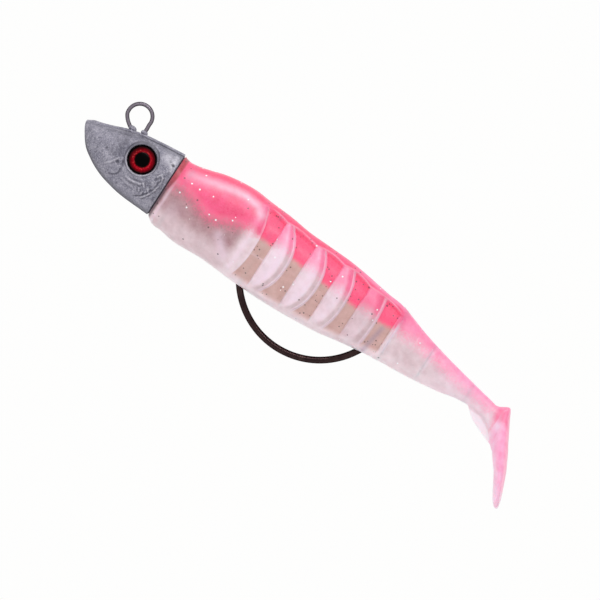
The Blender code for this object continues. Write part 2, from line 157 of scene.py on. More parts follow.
def place(x, y, z):
    """A design point in the frame, in metres."""
    return NOSE + Vector((x, y, z)) * MM


def srgb(red, green, blue):
    """A screen colour as the linear colour that shaders take."""
    values = [channel / 255 for channel in (red, green, blue)]
    return tuple(v / 12.92 if v <= 0.04045 else ((v + 0.055) / 1.055) ** 2.4 for v in values)


def full_turn(count):
    """Evenly spaced angles once round."""
    return np.linspace(0.0, 2 * np.pi, count, endpoint=False)


def fractions_of(count):
    """Evenly spaced fractions from 0 to 1."""
    return np.linspace(0.0, 1.0, count)


def ramp(t):
    """0 below 0, 1 above 1 and smooth between."""
    t = np.clip(t, 0.0, 1.0)
    return t * t * (3 - 2 * t)


def ridge(distance, width):
    """1 on a line, falling to 0 over about twice the width."""
    return np.exp(-((distance / width) ** 2))


def outline(points, x):
    """Values at x of a smooth curve through points."""
    px, pv = np.array(points, float).T
    slope = np.gradient(pv, px)
    i = np.clip(np.searchsorted(px, x) - 1, 0, len(px) - 2)
    width = px[i + 1] - px[i]
    t = np.clip((x - px[i]) / width, 0.0, 1.0)
    return (
        pv[i] * (2 * t**3 - 3 * t**2 + 1)
        + slope[i] * width * (t**3 - 2 * t**2 + t)
        + pv[i + 1] * (3 * t**2 - 2 * t**3)
        + slope[i + 1] * width * (t**3 - t**2)
    )


def path_distance(x, z, points):
    """Distance of side-view points from an open line through points."""
    best = np.full(np.shape(x), 1e9)
    for (x0, z0), (x1, z1) in zip(points, points[1:]):
        length2 = (x1 - x0) ** 2 + (z1 - z0) ** 2
        t = np.clip(((x - x0) * (x1 - x0) + (z - z0) * (z1 - z0)) / length2, 0.0, 1.0)
        best = np.minimum(best, np.hypot(x - x0 - t * (x1 - x0), z - z0 - t * (z1 - z0)))
    return best


def line_ridge(x, z, points, width):
    """1 on an open line through side-view points, falling to 0 over about twice the width."""
    return ridge(path_distance(x, z, points), width)


def spot_ridge(x, z, centre, width):
    """1 at a side-view point, falling to 0 over about twice the width."""
    return ridge(np.hypot(x - centre[0], z - centre[1]), width)


def between(value, low, rise, high, fall):
    """1 from low to high, with a smooth rise after low and a smooth fall before high."""
    return ramp((value - low) / rise) * ramp((high - value) / fall)


def inside(x, z, points):
    """Whether side-view points are inside a closed outline."""
    within = np.zeros(np.shape(x), bool)
    for (x0, z0), (x1, z1) in zip(points, points[1:] + points[:1]):
        if z0 != z1:
            crosses = ((z0 > z) != (z1 > z)) & (x < x0 + (z - z0) * (x1 - x0) / (z1 - z0))
            within ^= crosses
    return within


def arc(centre, radius, start, end, count):
    """Points on a circle in the side view, between two angles in degrees."""
    angles = np.radians(np.linspace(start, end, count + 1))
    return [(centre[0] + radius * math.cos(a), centre[1] + radius * math.sin(a)) for a in angles]


def smooth_path(points, pieces=8):
    """A finer path through (x, z) points, as a Catmull-Rom curve."""
    p = np.array([points[0]] + points + [points[-1]], float)
    path = []
    for a, b, c, d in zip(p, p[1:], p[2:], p[3:]):
        for t in np.arange(pieces) / pieces:
            spot = 2 * b + (c - a) * t + (2 * a - 5 * b + 4 * c - d) * t**2 + (3 * b - a - 3 * c + d) * t**3
            path.append(tuple(0.5 * spot))
    path.append(points[-1])
    return path


def ring_normals(grid):
    """Outward normals of a tube grid of shape (stations, points, 3)."""
    along = np.gradient(grid, axis=0)
    around = np.roll(grid, -1, axis=1) - np.roll(grid, 1, axis=1)
    normals = np.cross(around, along)
    return normals / np.maximum(np.linalg.norm(normals, axis=2, keepdims=True), 1e-9)


def oval_grid(x, top, bottom, half_width, power):
    """Cross-sections in x, each a superellipse. x and the sizes have shape (stations, points)."""
    angles = full_turn(x.shape[1])
    c = np.cos(angles)
    s = np.sin(angles)
    y = half_width * np.sign(c) * np.abs(c) ** (2 / power)
    z = (top + bottom) / 2 + (top - bottom) / 2 * np.sign(s) * np.abs(s) ** (2 / power)
    return np.stack([x, y, z], axis=2)


def mesh_object(name, points, faces):
    """A smooth shaded object from design points and faces."""
    mesh = bpy.data.meshes.new(name)
    mesh.from_pydata((np.asarray(points, float) * MM + np.array(NOSE)).tolist(), [], faces)
    mesh.validate()
    mesh.shade_smooth()
    piece = bpy.data.objects.new(name, mesh)
    bpy.context.scene.collection.objects.link(piece)
    return piece


def tube_faces(stations, count, first=0):
    """Quads between rings, and a fan over each end around a middle point after the last ring."""
    faces = []
    for i in range(stations - 1):
        for j in range(count):
            k = (j + 1) % count
            row = first + i * count
            faces.append((row + j, row + count + j, row + count + k, row + k))
    start = first + stations * count
    last = first + (stations - 1) * count
    for j in range(count):
        k = (j + 1) % count
        faces.append((first + j, first + k, start))
        faces.append((last + k, last + j, start + 1))
    return faces


def tube_points(grid):
    """All ring points and then the middle point of each end."""
    ends = np.stack([grid[0].mean(axis=0), grid[-1].mean(axis=0)])
    return np.concatenate([grid.reshape(-1, 3), ends])


def joined(name, grids):
    """One object of several closed tubes."""
    points = []
    faces = []
    for grid in grids:
        faces += tube_faces(grid.shape[0], grid.shape[1], sum(len(p) for p in points))
        points.append(tube_points(grid))
    return mesh_object(name, np.concatenate(points), faces)


def design_points(piece):
    """An object's vertices as design points."""
    co = np.zeros(len(piece.data.vertices) * 3)
    piece.data.vertices.foreach_get("co", co)
    return (co.reshape(-1, 3) - np.array(NOSE)) / MM


def store(piece, name, values):
    """Keep a number or a vector on each vertex for the materials."""
    kind = "FLOAT_VECTOR" if values.ndim == 2 else "FLOAT"
    attribute = piece.data.attributes.new(name, kind, "POINT")
    field = "vector" if values.ndim == 2 else "value"
    attribute.data.foreach_set(field, values.astype(np.float32).ravel())


def apply_modifiers(piece):
    """Replace the mesh by its evaluated form."""
    bpy.context.view_layer.update()
    evaluated = piece.evaluated_get(bpy.context.evaluated_depsgraph_get())
    mesh = bpy.data.meshes.new_from_object(evaluated)
    old = piece.data
    piece.modifiers.clear()
    piece.data = mesh
    bpy.data.meshes.remove(old)


def wire_grid(path, radii, count=24, flat_height=None):
    """A round wire along (x, z) points in the middle plane, or along (x, y) points at flat_height."""
    p = np.array(path, float)
    radii = np.broadcast_to(radii, len(p))
    along = np.gradient(p, axis=0)
    along /= np.linalg.norm(along, axis=1, keepdims=True)
    side = np.stack([-along[:, 1], along[:, 0]], axis=1)
    angles = full_turn(count)
    in_plane = p[:, None, :] + radii[:, None, None] * np.cos(angles)[None, :, None] * side[:, None, :]
    off_plane = radii[:, None] * np.sin(angles)[None, :]
    if flat_height is None:
        return np.stack([in_plane[..., 0], off_plane, in_plane[..., 1]], axis=2)
    return np.stack([in_plane[..., 0], in_plane[..., 1], flat_height + off_plane], axis=2)[:, ::-1]


def turned_grid(profile, side, count=96):
    """A form turned about the eye's axis, from (radius, y) points."""
    angles = full_turn(count) * -side
    radius, y = np.array(profile, float).T
    x = EYE_CENTRE[0] + radius[:, None] * np.cos(angles)
    z = EYE_CENTRE[1] + radius[:, None] * np.sin(angles)
    return np.stack([x, np.broadcast_to(side * y[:, None], x.shape), z], axis=2)


class Nodes:
    """A node tree and a short way to add nodes to it that are set and joined."""

    def __init__(self, tree):
        self.tree = tree

    def add(self, kind, inputs=None, **settings):
        made = self.tree.nodes.new(kind)
        for key, value in settings.items():
            setattr(made, key, value)
        for key, value in (inputs or {}).items():
            if isinstance(value, bpy.types.NodeSocket):
                self.tree.links.new(value, made.inputs[key])
            else:
                made.inputs[key].default_value = value
        return made


class Look(Nodes):
    """A Principled material and short ways to write its nodes."""

    def __init__(self, name, **sockets):
        self.material = bpy.data.materials.new(name)
        self.material.use_nodes = True
        super().__init__(self.material.node_tree)
        self.shader = self.tree.nodes["Principled BSDF"]
        for socket, value in sockets.items():
            self.shader.inputs[socket.replace("_", " ")].default_value = value

    def stored(self, name, vector=False):
        made = self.add("ShaderNodeAttribute", attribute_name=name)
        return made.outputs["Vector" if vector else "Fac"]

    def noise(self, place_socket, scale, detail=3.0, roughness=0.5):
        inputs = {"Vector": place_socket, "Scale": scale, "Detail": detail, "Roughness": roughness}
        return self.add("ShaderNodeTexNoise", inputs).outputs["Fac"]

    def math(self, operation, a, b=0.0, clamp=False):
        return self.add("ShaderNodeMath", {0: a, 1: b}, operation=operation, use_clamp=clamp).outputs[0]

    def times(self, a, b):
        return self.math("MULTIPLY", a, b)

    def stretch(self, value, low, high, to_low=0.0, to_high=1.0):
        inputs = {"Value": value, "From Min": low, "From Max": high, "To Min": to_low, "To Max": to_high}
        return self.add("ShaderNodeMapRange", inputs).outputs["Result"]

    def mix(self, amount, a, b, blend_type="MIX"):
        made = self.add("ShaderNodeMix", data_type="RGBA", blend_type=blend_type)
        for key, value in ((0, amount), (6, a), (7, b)):
            if isinstance(value, bpy.types.NodeSocket):
                self.tree.links.new(value, made.inputs[key])
            else:
                made.inputs[key].default_value = (*value, 1.0) if isinstance(value, tuple) else value
        return made.outputs[2]

    def set(self, socket, value):
        self.tree.links.new(value, self.shader.inputs[socket])

    def finish(self, colour, grain, roughness, bump):
        """Take the colour, take roughness and bump from one grain, and give the material."""
        self.set("Base Color", colour)
        self.set("Roughness", self.stretch(grain, 0.3, 0.7, *roughness))
        self.set("Normal", self.bump(grain, *bump))
        return self.material

    def bump(self, height, distance, strength=1.0, normal=None):
        inputs = {"Height": height, "Distance": distance, "Strength": strength}
        if normal:
            inputs["Normal"] = normal
        return self.add("ShaderNodeBump", inputs).outputs["Normal"]


# ---------------------------------------------------------------- materials


def cast_metal():
    """Bare satin alloy: mottled grey, duller in patches, with a fine cast grain, painted highlights and
    painted shade.
    """
    look = Look("cast_metal", Metallic=0.85)
    rest = look.stored("rest", vector=True)
    broad = look.noise(rest, 0.32, 4.0, 0.6)
    patches = look.noise(rest, 1.3, 4.0, 0.65)
    fine = look.noise(rest, 4.5, 4.0, 0.7)
    grey = look.mix(look.stretch(broad, 0.35, 0.65), srgb(132, 130, 143), srgb(166, 163, 174))
    grey = look.mix(look.stretch(patches, 0.42, 0.66, 0.0, 0.6), grey, srgb(94, 92, 108))
    grey = look.mix(look.stretch(fine, 0.5, 0.7, 0.0, 0.75), grey, srgb(206, 203, 213))
    grey = look.mix(look.stretch(fine, 0.32, 0.47, 0.6, 0.0), grey, srgb(78, 74, 92))
    # Wear and painted highlight: the stored edge mask lightens raised relief, lit patches and the top rim.
    wear_and_highlight = look.times(look.stored("edge"), look.stretch(fine, 0.35, 0.6, 0.35, 0.9))
    grey = look.mix(wear_and_highlight, grey, srgb(214, 210, 218))
    # Painted shade: the stored shade mask darkens the metal towards blue-grey.
    grey = look.mix(look.stored("painted_shade"), grey, srgb(46, 45, 58))
    look.set("Base Color", grey)
    look.set("Roughness", look.stretch(look.math("ADD", patches, fine), 0.6, 1.4, 0.3, 0.5))
    grain = look.math("ADD", fine, look.times(patches, 2.0))
    look.set("Normal", look.bump(grain, 0.0002, 0.6))
    return look.material


def wire_metal(name, dark, light, roughness):
    """Drawn wire with faint marks and a painted sheen: light on faces out of its plane, dark on its edges."""
    look = Look(name, Metallic=1.0)
    rest = look.stored("rest", vector=True)
    marks = look.noise(rest, 7.0, 4.0, 0.6)
    painted_sheen = look.math("ADD", look.stored("painted_sheen"), look.stretch(marks, 0.3, 0.7, -0.18, 0.18), clamp=True)
    return look.finish(look.mix(painted_sheen, dark, light), marks, roughness, (0.00003, 0.4))


def hook_metal():
    """Black nickel plate: nearly black, with a warm brown sheen in the reflections."""
    look = Look("hook_black_nickel", Metallic=1.0)
    look.shader.inputs["Specular Tint"].default_value = (0.08, 0.06, 0.06, 1.0)
    rest = look.stored("rest", vector=True)
    tone = look.noise(rest, 0.6, 3.0)
    colour = look.mix(look.stretch(tone, 0.3, 0.7), srgb(44, 31, 33), srgb(62, 47, 46))
    marks = look.noise(rest, 6.0, 4.0, 0.6)
    return look.finish(colour, marks, (0.06, 0.12), (0.00001, 0.2))


def eye_resin():
    """Foil eye under a clear dome: black rim, deep red ring, brighter inner ring and black pupil."""
    look = Look("eye_resin", Specular_IOR_Level=0.02, Coat_Weight=0.03, Coat_Roughness=0.05, Coat_IOR=1.4)
    spot = look.stored("eye", vector=True)
    parts = look.add("ShaderNodeSeparateXYZ", {0: spot})
    grain = look.noise(spot, 2.2, 3.0, 0.6)
    squares = [look.math("POWER", parts.outputs[i], 2.0) for i in (0, 1)]
    radius = look.math("SQRT", look.math("ADD", *squares))
    wavy = look.math("ADD", radius, look.stretch(grain, 0.2, 0.8, -0.12, 0.12))
    ring = look.add("ShaderNodeValToRGB", {0: look.math("DIVIDE", wavy, EYE_RADIUS)})
    stops = [
        (0.0, (0.0004, 0.0004, 0.0004)), (0.49, (0.0008, 0.0004, 0.0004)), (0.54, srgb(92, 2, 10)),
        (0.60, srgb(184, 6, 34)), (0.68, srgb(146, 0, 20)), (0.82, srgb(92, 0, 12)), (0.91, srgb(10, 3, 5)),
    ]
    band = ring.color_ramp
    while len(band.elements) < len(stops):
        band.elements.new(1.0)
    for element, (position, colour) in zip(band.elements, stops):
        element.position = position
        element.color = (*colour, 1.0)
    angle = look.math("ARCTAN2", parts.outputs[1], parts.outputs[0])
    rays = look.noise(look.add("ShaderNodeCombineXYZ", {0: angle, 1: radius, 2: 0.0}).outputs[0], 5.0, 2.0)
    # Painted shade: the foil darker to the upper left and lighter to the lower right, times random radial
    # streaks.
    tilt = look.math("SUBTRACT", parts.outputs[0], parts.outputs[1])
    shade = look.times(look.stretch(rays, 0.3, 0.7, 0.6, 1.2), look.stretch(tilt, -3.0, 3.0, 0.55, 1.15))
    grey = look.add("ShaderNodeCombineColor", {0: shade, 1: shade, 2: shade}).outputs[0]
    tinted = look.mix(1.0, ring.outputs[0], grey, "MULTIPLY")
    # Painted glints: light salmon flecks on the inner ring, standing in for reflections in the dome.
    painted_glint = look.times(look.stretch(rays, 0.56, 0.68), look.stretch(radius, 1.62, 1.72))
    painted_glint = look.times(painted_glint, look.stretch(radius, 2.0, 2.25, 0.55, 0.0))
    colour = look.mix(painted_glint, tinted, srgb(216, 104, 92))
    return look.finish(colour, grain, (0.2, 0.32), (0.00001, 0.2))


def eye_backing(name, dark, light):
    """Cured adhesive and printed film under the eye."""
    look = Look(name)
    spot = look.add("ShaderNodeTexCoord").outputs["Object"]
    tone = look.noise(spot, 900.0, 3.0)
    return look.finish(look.mix(tone, dark, light), tone, (0.4, 0.7), (0.00004, 0.4))


def soft_plastic(name):
    """Soft pearl plastic: pink back, pearl belly, tan see-through windows and scattered foil flakes."""
    look = Look(
        name, Subsurface_Weight=0.45, Subsurface_Scale=0.0012, Coat_Weight=0.45, Coat_Roughness=0.34,
        IOR=1.45,
    )
    look.shader.inputs["Subsurface Radius"].default_value = (1.0, 0.55, 0.6)
    rest = look.stored("rest", vector=True)
    pink = look.stored("pink")
    window = look.stored("window")
    pale = look.stored("pale")
    haze_and_shade_mask = look.stored("haze_and_shade")
    cloud = look.noise(rest, 0.35, 4.0, 0.55)
    fine = look.noise(rest, 2.6, 4.0, 0.6)

    patchy = look.stretch(look.noise(rest, 0.6, 4.0, 0.55), 0.3, 0.7)
    belly = look.mix(patchy, srgb(221, 198, 203), srgb(239, 221, 226))
    # A mauve band under the pink, which also carries painted shade on the rear slopes of the ribs.
    belly = look.mix(haze_and_shade_mask, belly, look.mix(patchy, srgb(158, 112, 118), srgb(178, 138, 142)))
    belly = look.mix(window, belly, look.mix(patchy, srgb(196, 155, 146), srgb(211, 172, 165)))
    back = look.mix(look.stretch(cloud, 0.3, 0.7), srgb(230, 50, 106), srgb(246, 78, 134))
    back = look.mix(window, back, srgb(255, 70, 122))
    # Lighter pink where the pale mask says, partly painted highlight on the ribs.
    back = look.mix(pale, back, look.mix(patchy, srgb(250, 138, 184), srgb(255, 182, 216)))
    # Painted shade: a deeper pink along the top outline.
    back = look.mix(look.stored("deep"), back, srgb(250, 34, 100))
    edge_noise = look.stretch(fine, 0.3, 0.7, -0.3, 0.3)
    wander = look.stretch(cloud, 0.3, 0.7, -0.12, 0.12)
    near_edge = look.times(pink, look.math("SUBTRACT", 1.0, pink))
    shifted = look.times(look.math("ADD", edge_noise, wander), look.times(near_edge, 4.0))
    colour = look.mix(look.math("ADD", pink, shifted, clamp=True), belly, back)
    # Painted highlight: light lilac where the pearl mask says.
    sheen = look.times(look.stored("pearl"), look.stretch(patchy, 0.0, 1.0, 0.72, 1.0))
    colour = look.mix(sheen, colour, srgb(240, 218, 234))
    colour = look.mix(look.stored("thin"), colour, srgb(244, 234, 240))
    # Painted shade: the collar lip darkens where it tucks against the head.
    colour = look.mix(look.stored("lip"), colour, look.mix(pink, srgb(72, 34, 48), srgb(168, 0, 36)))
    colour = look.mix(look.stored("shade"), colour, srgb(150, 132, 156))
    colour = look.mix(look.stretch(fine, 0.3, 0.75, 0.0, 0.12), colour, srgb(244, 206, 222))

    cells = look.add("ShaderNodeTexVoronoi", {"Vector": rest, "Scale": 0.62, "Randomness": 1.0})
    near = look.math("LESS_THAN", cells.outputs["Distance"], 0.12)
    kind = look.add("ShaderNodeSeparateColor", {0: cells.outputs["Color"]}).outputs[0]
    bright = look.times(near, look.math("LESS_THAN", kind, 0.34))
    dark = look.times(near, look.math("GREATER_THAN", kind, 0.62))
    small = look.add("ShaderNodeTexVoronoi", {"Vector": rest, "Scale": 1.05, "Randomness": 1.0})
    speck = look.math("LESS_THAN", small.outputs["Distance"], 0.17)
    chosen = look.add("ShaderNodeSeparateColor", {0: small.outputs["Color"]}).outputs[1]
    speck = look.times(speck, look.math("GREATER_THAN", chosen, 0.35))
    dark = look.math("MAXIMUM", dark, look.times(speck, window))
    amount = look.stored("flakes")
    colour = look.mix(look.times(bright, amount), colour, srgb(244, 240, 244))
    colour = look.mix(look.times(dark, look.times(amount, 0.8)), colour, srgb(84, 62, 66))
    look.set("Base Color", colour)
    look.set("Roughness", look.stretch(fine, 0.3, 0.7, 0.26, 0.4))
    soft = look.bump(look.noise(rest, 0.9, 4.0, 0.55), 0.0002, 0.2)
    look.set("Normal", look.bump(fine, 0.00003, 0.35, soft))
    return look.material


# ---------------------------------------------------------------- head


JAW_LINE = [
    (0.5, -0.4), (2.0, -2.6), (4.5, -4.7), (7.0, -5.7), (9.5, -6.1), (11.0, -5.7), (11.6, -4.5), (10.5, -2.4),
]
JAW_EDGE = smooth_path(JAW_LINE, 6)
JAW_LOBE = smooth_path(JAW_LINE[1:], 6) + [(9.0, -1.2), (5.0, -0.8)]
JAW_REAR = smooth_path([(11.2, -2.4), (11.6, -3.6), (11.55, -4.8), (11.1, -5.6), (10.2, -6.1)], 6)
CHEEK_RIDGE = [(8.2, -4.6), (9.3, -3.6), (10.0, -2.4)]
BROW_LINE = [(1.5, 1.25), (6.0, 2.5), (10.5, 3.9)]
GILL_CENTRE = (14.0, -2.2)

# Small pits of the cast surface: x, z and depth.
CAST_PITS = [(6.7, -1.9, 0.08), (5.0, -2.8, 0.06), (4.2, -1.0, 0.05), (19.6, 2.9, 0.06), (12.4, -6.9, 0.07)]


def broken(x, z, pitch):
    """Uneven strength along a line, as in a mould with wear, from 0.35 to 1."""
    wave = np.sin(x * 5.1 / pitch + 1.7 * z) + np.sin(z * 6.3 / pitch - 2.1 * x + 0.8)
    return 0.35 + 0.65 * ramp(wave / 3.0 + 0.5)


def gill_relief(x, z):
    """Raised arcs behind the eye with short rakers between them."""
    outer = arc(GILL_CENTRE, 6.25, 12, -46, 24)
    height = np.zeros(np.shape(x))
    for strength, width, line in (
        (0.24, 0.18, outer),
        (-0.14, 0.24, arc(GILL_CENTRE, 5.85, 0, -60, 24)),
        (0.24, 0.22, [(13.6, -4.75), (15.2, -4.85), (16.8, -4.5)]),
        (0.10, 0.22, [(12.8, -5.5), (14.6, -5.9), (16.4, -5.8)]),
        (0.20, 0.22, [outer[0], (19.5, -0.5), (19.0, -1.2)]),
    ):
        height += strength * line_ridge(x, z, line, width)
    rakers = [
        ((17.2, -4.0), (17.7, -4.5)), ((18.5, -4.3), (19.3, -5.2)), ((19.0, -2.5), (18.9, -3.2)),
        ((17.9, -5.6), (18.0, -6.2)), ((17.0, -5.4), (17.2, -5.7)),
    ]
    for raker in rakers:
        height += 0.2 * line_ridge(x, z, raker, 0.24)
    return height * broken(x, z, 1.0)


def jaw_relief(x, z):
    """Jaw lobe that stands proud at its rear, a crease up to the mouth and a beaded line along the jaw."""
    edge = path_distance(x, z, JAW_EDGE)
    fade = ramp((6.5 - np.hypot(x - 10.6, z + 4.6)) / 5.0) * ramp((-1.9 - z) / 1.6)
    lobe = np.where(inside(x, z, JAW_LOBE), 1 - np.exp(-edge / 0.9), 0.0) * fade
    crease = path_distance(x, z, CHEEK_RIDGE)
    behind = ramp((x - 9.6) / 1.2)
    height = 0.34 * lobe + 0.10 * (1 - behind) * ridge(edge, 0.24) * broken(x, z, 0.6)
    height -= 0.13 * line_ridge(x, z, JAW_REAR, 0.34)
    height += 0.13 * ridge(crease, 0.24) + 0.12 * ridge(crease, 0.9)
    height -= 0.2 * spot_ridge(x, z, (10.3, -3.1), 0.4)
    return height


def head_relief(x, z):
    """Everything that stands out of or sinks into the head's flanks."""
    brow = path_distance(x, z, BROW_LINE)
    above = ramp((z - np.interp(x, [1.5, 10.5], [1.25, 3.9])) / 1.0) * between(x, 0.5, 2.0, 11.5, 2.0)
    height = gill_relief(x, z) + jaw_relief(x, z)
    height += 0.14 * ridge(brow, 0.3) - 0.42 * above
    height -= 0.22 * line_ridge(x, z, [(3.5, 0.6), (9.0, 1.6)], 1.0)
    height += 0.05 * np.sin(x * 1.9 + 0.6 * z) * np.sin(z * 1.7 - 0.4 * x)
    height += 0.12 * spot_ridge(x, z, (20.35, 2.05), 0.3) - 0.32 * spot_ridge(x, z, (20.5, 2.55), 0.32)
    for pit_x, pit_z, depth in CAST_PITS:
        height -= depth * spot_ridge(x, z, (pit_x, pit_z), 0.3)
    return height


def head_grid():
    """The casting's skin as rings of points, a mask of wear and painted highlight, and a mask of painted
    shade.
    """
    count = 400
    stations = np.concatenate([np.linspace(0.0, 20.9, 210), np.linspace(21.0, HEAD_LENGTH, 10)])
    x = np.repeat(stations[:, None], count, axis=1)
    shrink = 0.3 * ramp((stations - 21.25) / 0.35)[:, None]
    top = outline(HEAD_TOP, x) - RIM_HEIGHT - shrink
    bottom = outline(HEAD_BOTTOM, x) + RIM_HEIGHT * 0.3 + shrink
    top = np.maximum(top, bottom + 0.3)
    grid = oval_grid(x, top, bottom, outline(HEAD_HALF_WIDTH, x) - shrink, 2.4)
    normals = ring_normals(grid)
    y = grid[..., 1]
    z = grid[..., 2]
    facing = ramp((np.abs(normals[..., 1]) - 0.25) / 0.45) * between(x, 0.6, 1.0, 21.3, 0.3)
    relief = head_relief(x, z) * facing
    grid = grid + normals * relief[..., None]
    rim = ramp((RIM_HALF_WIDTH - np.abs(y)) / 0.22) * between(x, 0.2, 1.6, 21.5, 0.25)
    grid[..., 2] += rim * np.where(normals[..., 2] > 0.3, RIM_HEIGHT, 0.0)
    grid[..., 2] -= rim * np.where(normals[..., 2] < -0.3, RIM_HEIGHT * 0.3, 0.0)
    from_eye = np.hypot(grid[..., 0] - EYE_CENTRE[0], grid[..., 2] - EYE_CENTRE[1])
    seat = ramp((3.5 - from_eye) / 0.16)
    grid[..., 1] = np.sign(y) * (np.abs(grid[..., 1]) * (1 - seat) + SOCKET_FLOOR * seat)
    around = sum(np.roll(relief, shift, axis) for shift, axis in ((3, 0), (-3, 0), (4, 1), (-4, 1)))
    curl = relief - around / 4
    brow = z - np.interp(x, [0.5, 5.0, 10.5], [0.7, 1.75, 3.25])
    beside_rim = ramp((np.abs(y) - RIM_HALF_WIDTH) / 0.15) * ramp((2.0 - np.abs(y)) / 0.5)
    rim_edge = beside_rim * (normals[..., 2] > 0.3) * ramp((x - 10.5) / 4.0)
    # Wear on raised relief, and painted highlights: a patch and a strip behind the eye and a band under the
    # brow line.
    wear_and_highlight = np.clip(curl / 0.14, 0.0, 1.0) * (0.4 + 0.6 * broken(x, z, 0.8))
    wear_and_highlight += 0.6 * facing * ridge(np.hypot((x - 19.2) / 1.7, (z - 3.3) / 1.3), 1.0)
    wear_and_highlight += 0.6 * facing * line_ridge(x, z, [(20.3, 4.4), (20.55, 1.2)], 0.35)
    wear_and_highlight += 0.3 * facing * ridge(brow - 0.7, 0.35) * (x < 11.0)
    lower_edge = ridge(z - outline(HEAD_BOTTOM, x) - 0.15, 0.5) * ramp((x - 0.4) / 2.0)
    # Painted shade: hollows of the relief, beside the top rim, the rear face, the lower edge, the cheek in
    # front of the eye, low behind the gills and along the brow line.
    dark = np.clip(-curl / 0.09, 0.0, 0.6) + 0.8 * rim_edge + 0.7 * ramp((x - 21.2) / 0.3)
    dark += 0.65 * lower_edge
    dark += 0.4 * facing * ridge(np.hypot((x - 9.3) / 1.6, (z - 0.4) / 2.4), 1.0)
    dark += 0.2 * facing * ramp((x - 20.0) / 0.8) * (z < 1.0)
    dark += 0.3 * facing * ridge(brow, 0.4) * ramp((10.8 - x) / 1.0)
    # Painted highlight along the edge of the top rim.
    top_edge = ramp((RIM_HALF_WIDTH - 0.25 - np.abs(y)) / 0.2) * (normals[..., 2] > 0.3)
    wear_and_highlight = np.maximum(wear_and_highlight, 0.5 * top_edge)
    return grid, wear_and_highlight, np.clip(dark, 0.0, 0.9)


def bead_grid(centre, radii):
    """A small lump of metal where a wire enters the casting."""
    polar = np.linspace(-0.98, 0.98, 12) * np.pi / 2
    radius = np.cos(polar)[:, None] * np.ones((1, 20))
    angles = full_turn(20)
    x = centre[0] + radii[0] * np.sin(polar)[:, None] * np.ones((1, 20))
    y = radii[1] * radius * np.cos(angles)
    z = centre[1] + radii[2] * radius * np.sin(angles)
    return np.stack([x, y, z], axis=2)


def make_head():
    body, wear_and_highlight, dark = head_grid()
    rim = [
        (3.1, SOCKET_FLOOR), (3.1, 4.55), (3.14, 4.72), (3.22, 4.84), (3.34, 4.89), (3.47, 4.85),
        (3.58, 4.74), (3.68, 4.45), (3.8, 4.05), (3.95, 3.5),
    ]
    closed_rim = [(2.4, 3.5), (2.4, SOCKET_FLOOR)] + rim
    grids = [body]
    for side in (-1, 1):
        grids.append(turned_grid(closed_rim, side))
    grids.append(bead_grid((9.0, 4.45), (0.95, 0.75, 0.62)))
    grids.append(bead_grid((11.6, 5.0), (0.8, 0.72, 0.6)))
    head = joined("head_shell", grids)
    points = design_points(head)
    radius = np.hypot(points[wear_and_highlight.size:, 0] - EYE_CENTRE[0], points[wear_and_highlight.size:, 2] - EYE_CENTRE[1])
    store(head, "rest", points)
    below = ramp((EYE_CENTRE[1] + 1.0 - points[wear_and_highlight.size:, 2]) / 3.0)
    # Wear and painted highlight on the head, and a painted highlight on the lower half of each eye's casting
    # rim.
    store(head, "edge", np.concatenate([wear_and_highlight.ravel(), ridge(radius - 3.36, 0.12) * (0.1 + 0.6 * below)]))
    # Painted shade on the head, and on the upper half of each eye's casting rim.
    store(head, "painted_shade", np.concatenate([dark.ravel(), 0.45 * (1 - below) * (radius < 4.2)]))
    head.data.set_sharp_from_angle(angle=math.radians(50))
    head.data.materials.append(cast_metal())
    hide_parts("head_casting")
    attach(head, "head")


def make_eyes(resin):
    curve_radius = (EYE_RADIUS**2 + DOME_HEIGHT**2) / (2 * DOME_HEIGHT)
    for side, name in ((-1, "left"), (1, "right")):
        profile = [(EYE_RADIUS - 0.15, DOME_BASE - 0.04), (EYE_RADIUS - 0.02, DOME_BASE)]
        profile.append((EYE_RADIUS, DOME_BASE + 0.1))
        for radius in np.linspace(EYE_RADIUS - 0.03, 0.06, 26):
            height = math.sqrt(curve_radius**2 - radius**2) - (curve_radius - DOME_HEIGHT)
            profile.append((radius, DOME_BASE + 0.12 + height))
        eye = joined(f"eye_{name}", [turned_grid(profile, side)])
        points = design_points(eye)
        x, y, z = points.T
        store(eye, "eye", np.stack([x - EYE_CENTRE[0] - RINGS_OFFSET, z - EYE_CENTRE[1], y], axis=1))
        eye.data.materials.append(resin)
        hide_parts(f"eye_dome_{name}")
        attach(eye, "head")


# ---------------------------------------------------------------- wires


def tie_wire_path():
    front_leg = [(5.8, 1.3), (7.2, 0.9), (8.6, 1.6), (9.3, 3.0), (8.95, 4.1), (8.1, 4.7), (7.15, 5.45)]
    eye = arc(TIE_CENTRE, TIE_EYE_RADIUS, 202, -10, 14)
    rear_leg = [(11.6, 5.8), (11.5, 4.6), (11.7, 3.3), (12.7, 2.2), (14.6, 1.4), (17.5, 1.1), (21.2, 1.05)]
    hanger = arc((22.35, -1.2), 2.25, 90, -90, 10)
    tail_end = [(21.2, -3.45), (18.6, -3.3), (17.0, -4.3), (15.6, -3.6)]
    return front_leg + eye + rear_leg + hanger + tail_end


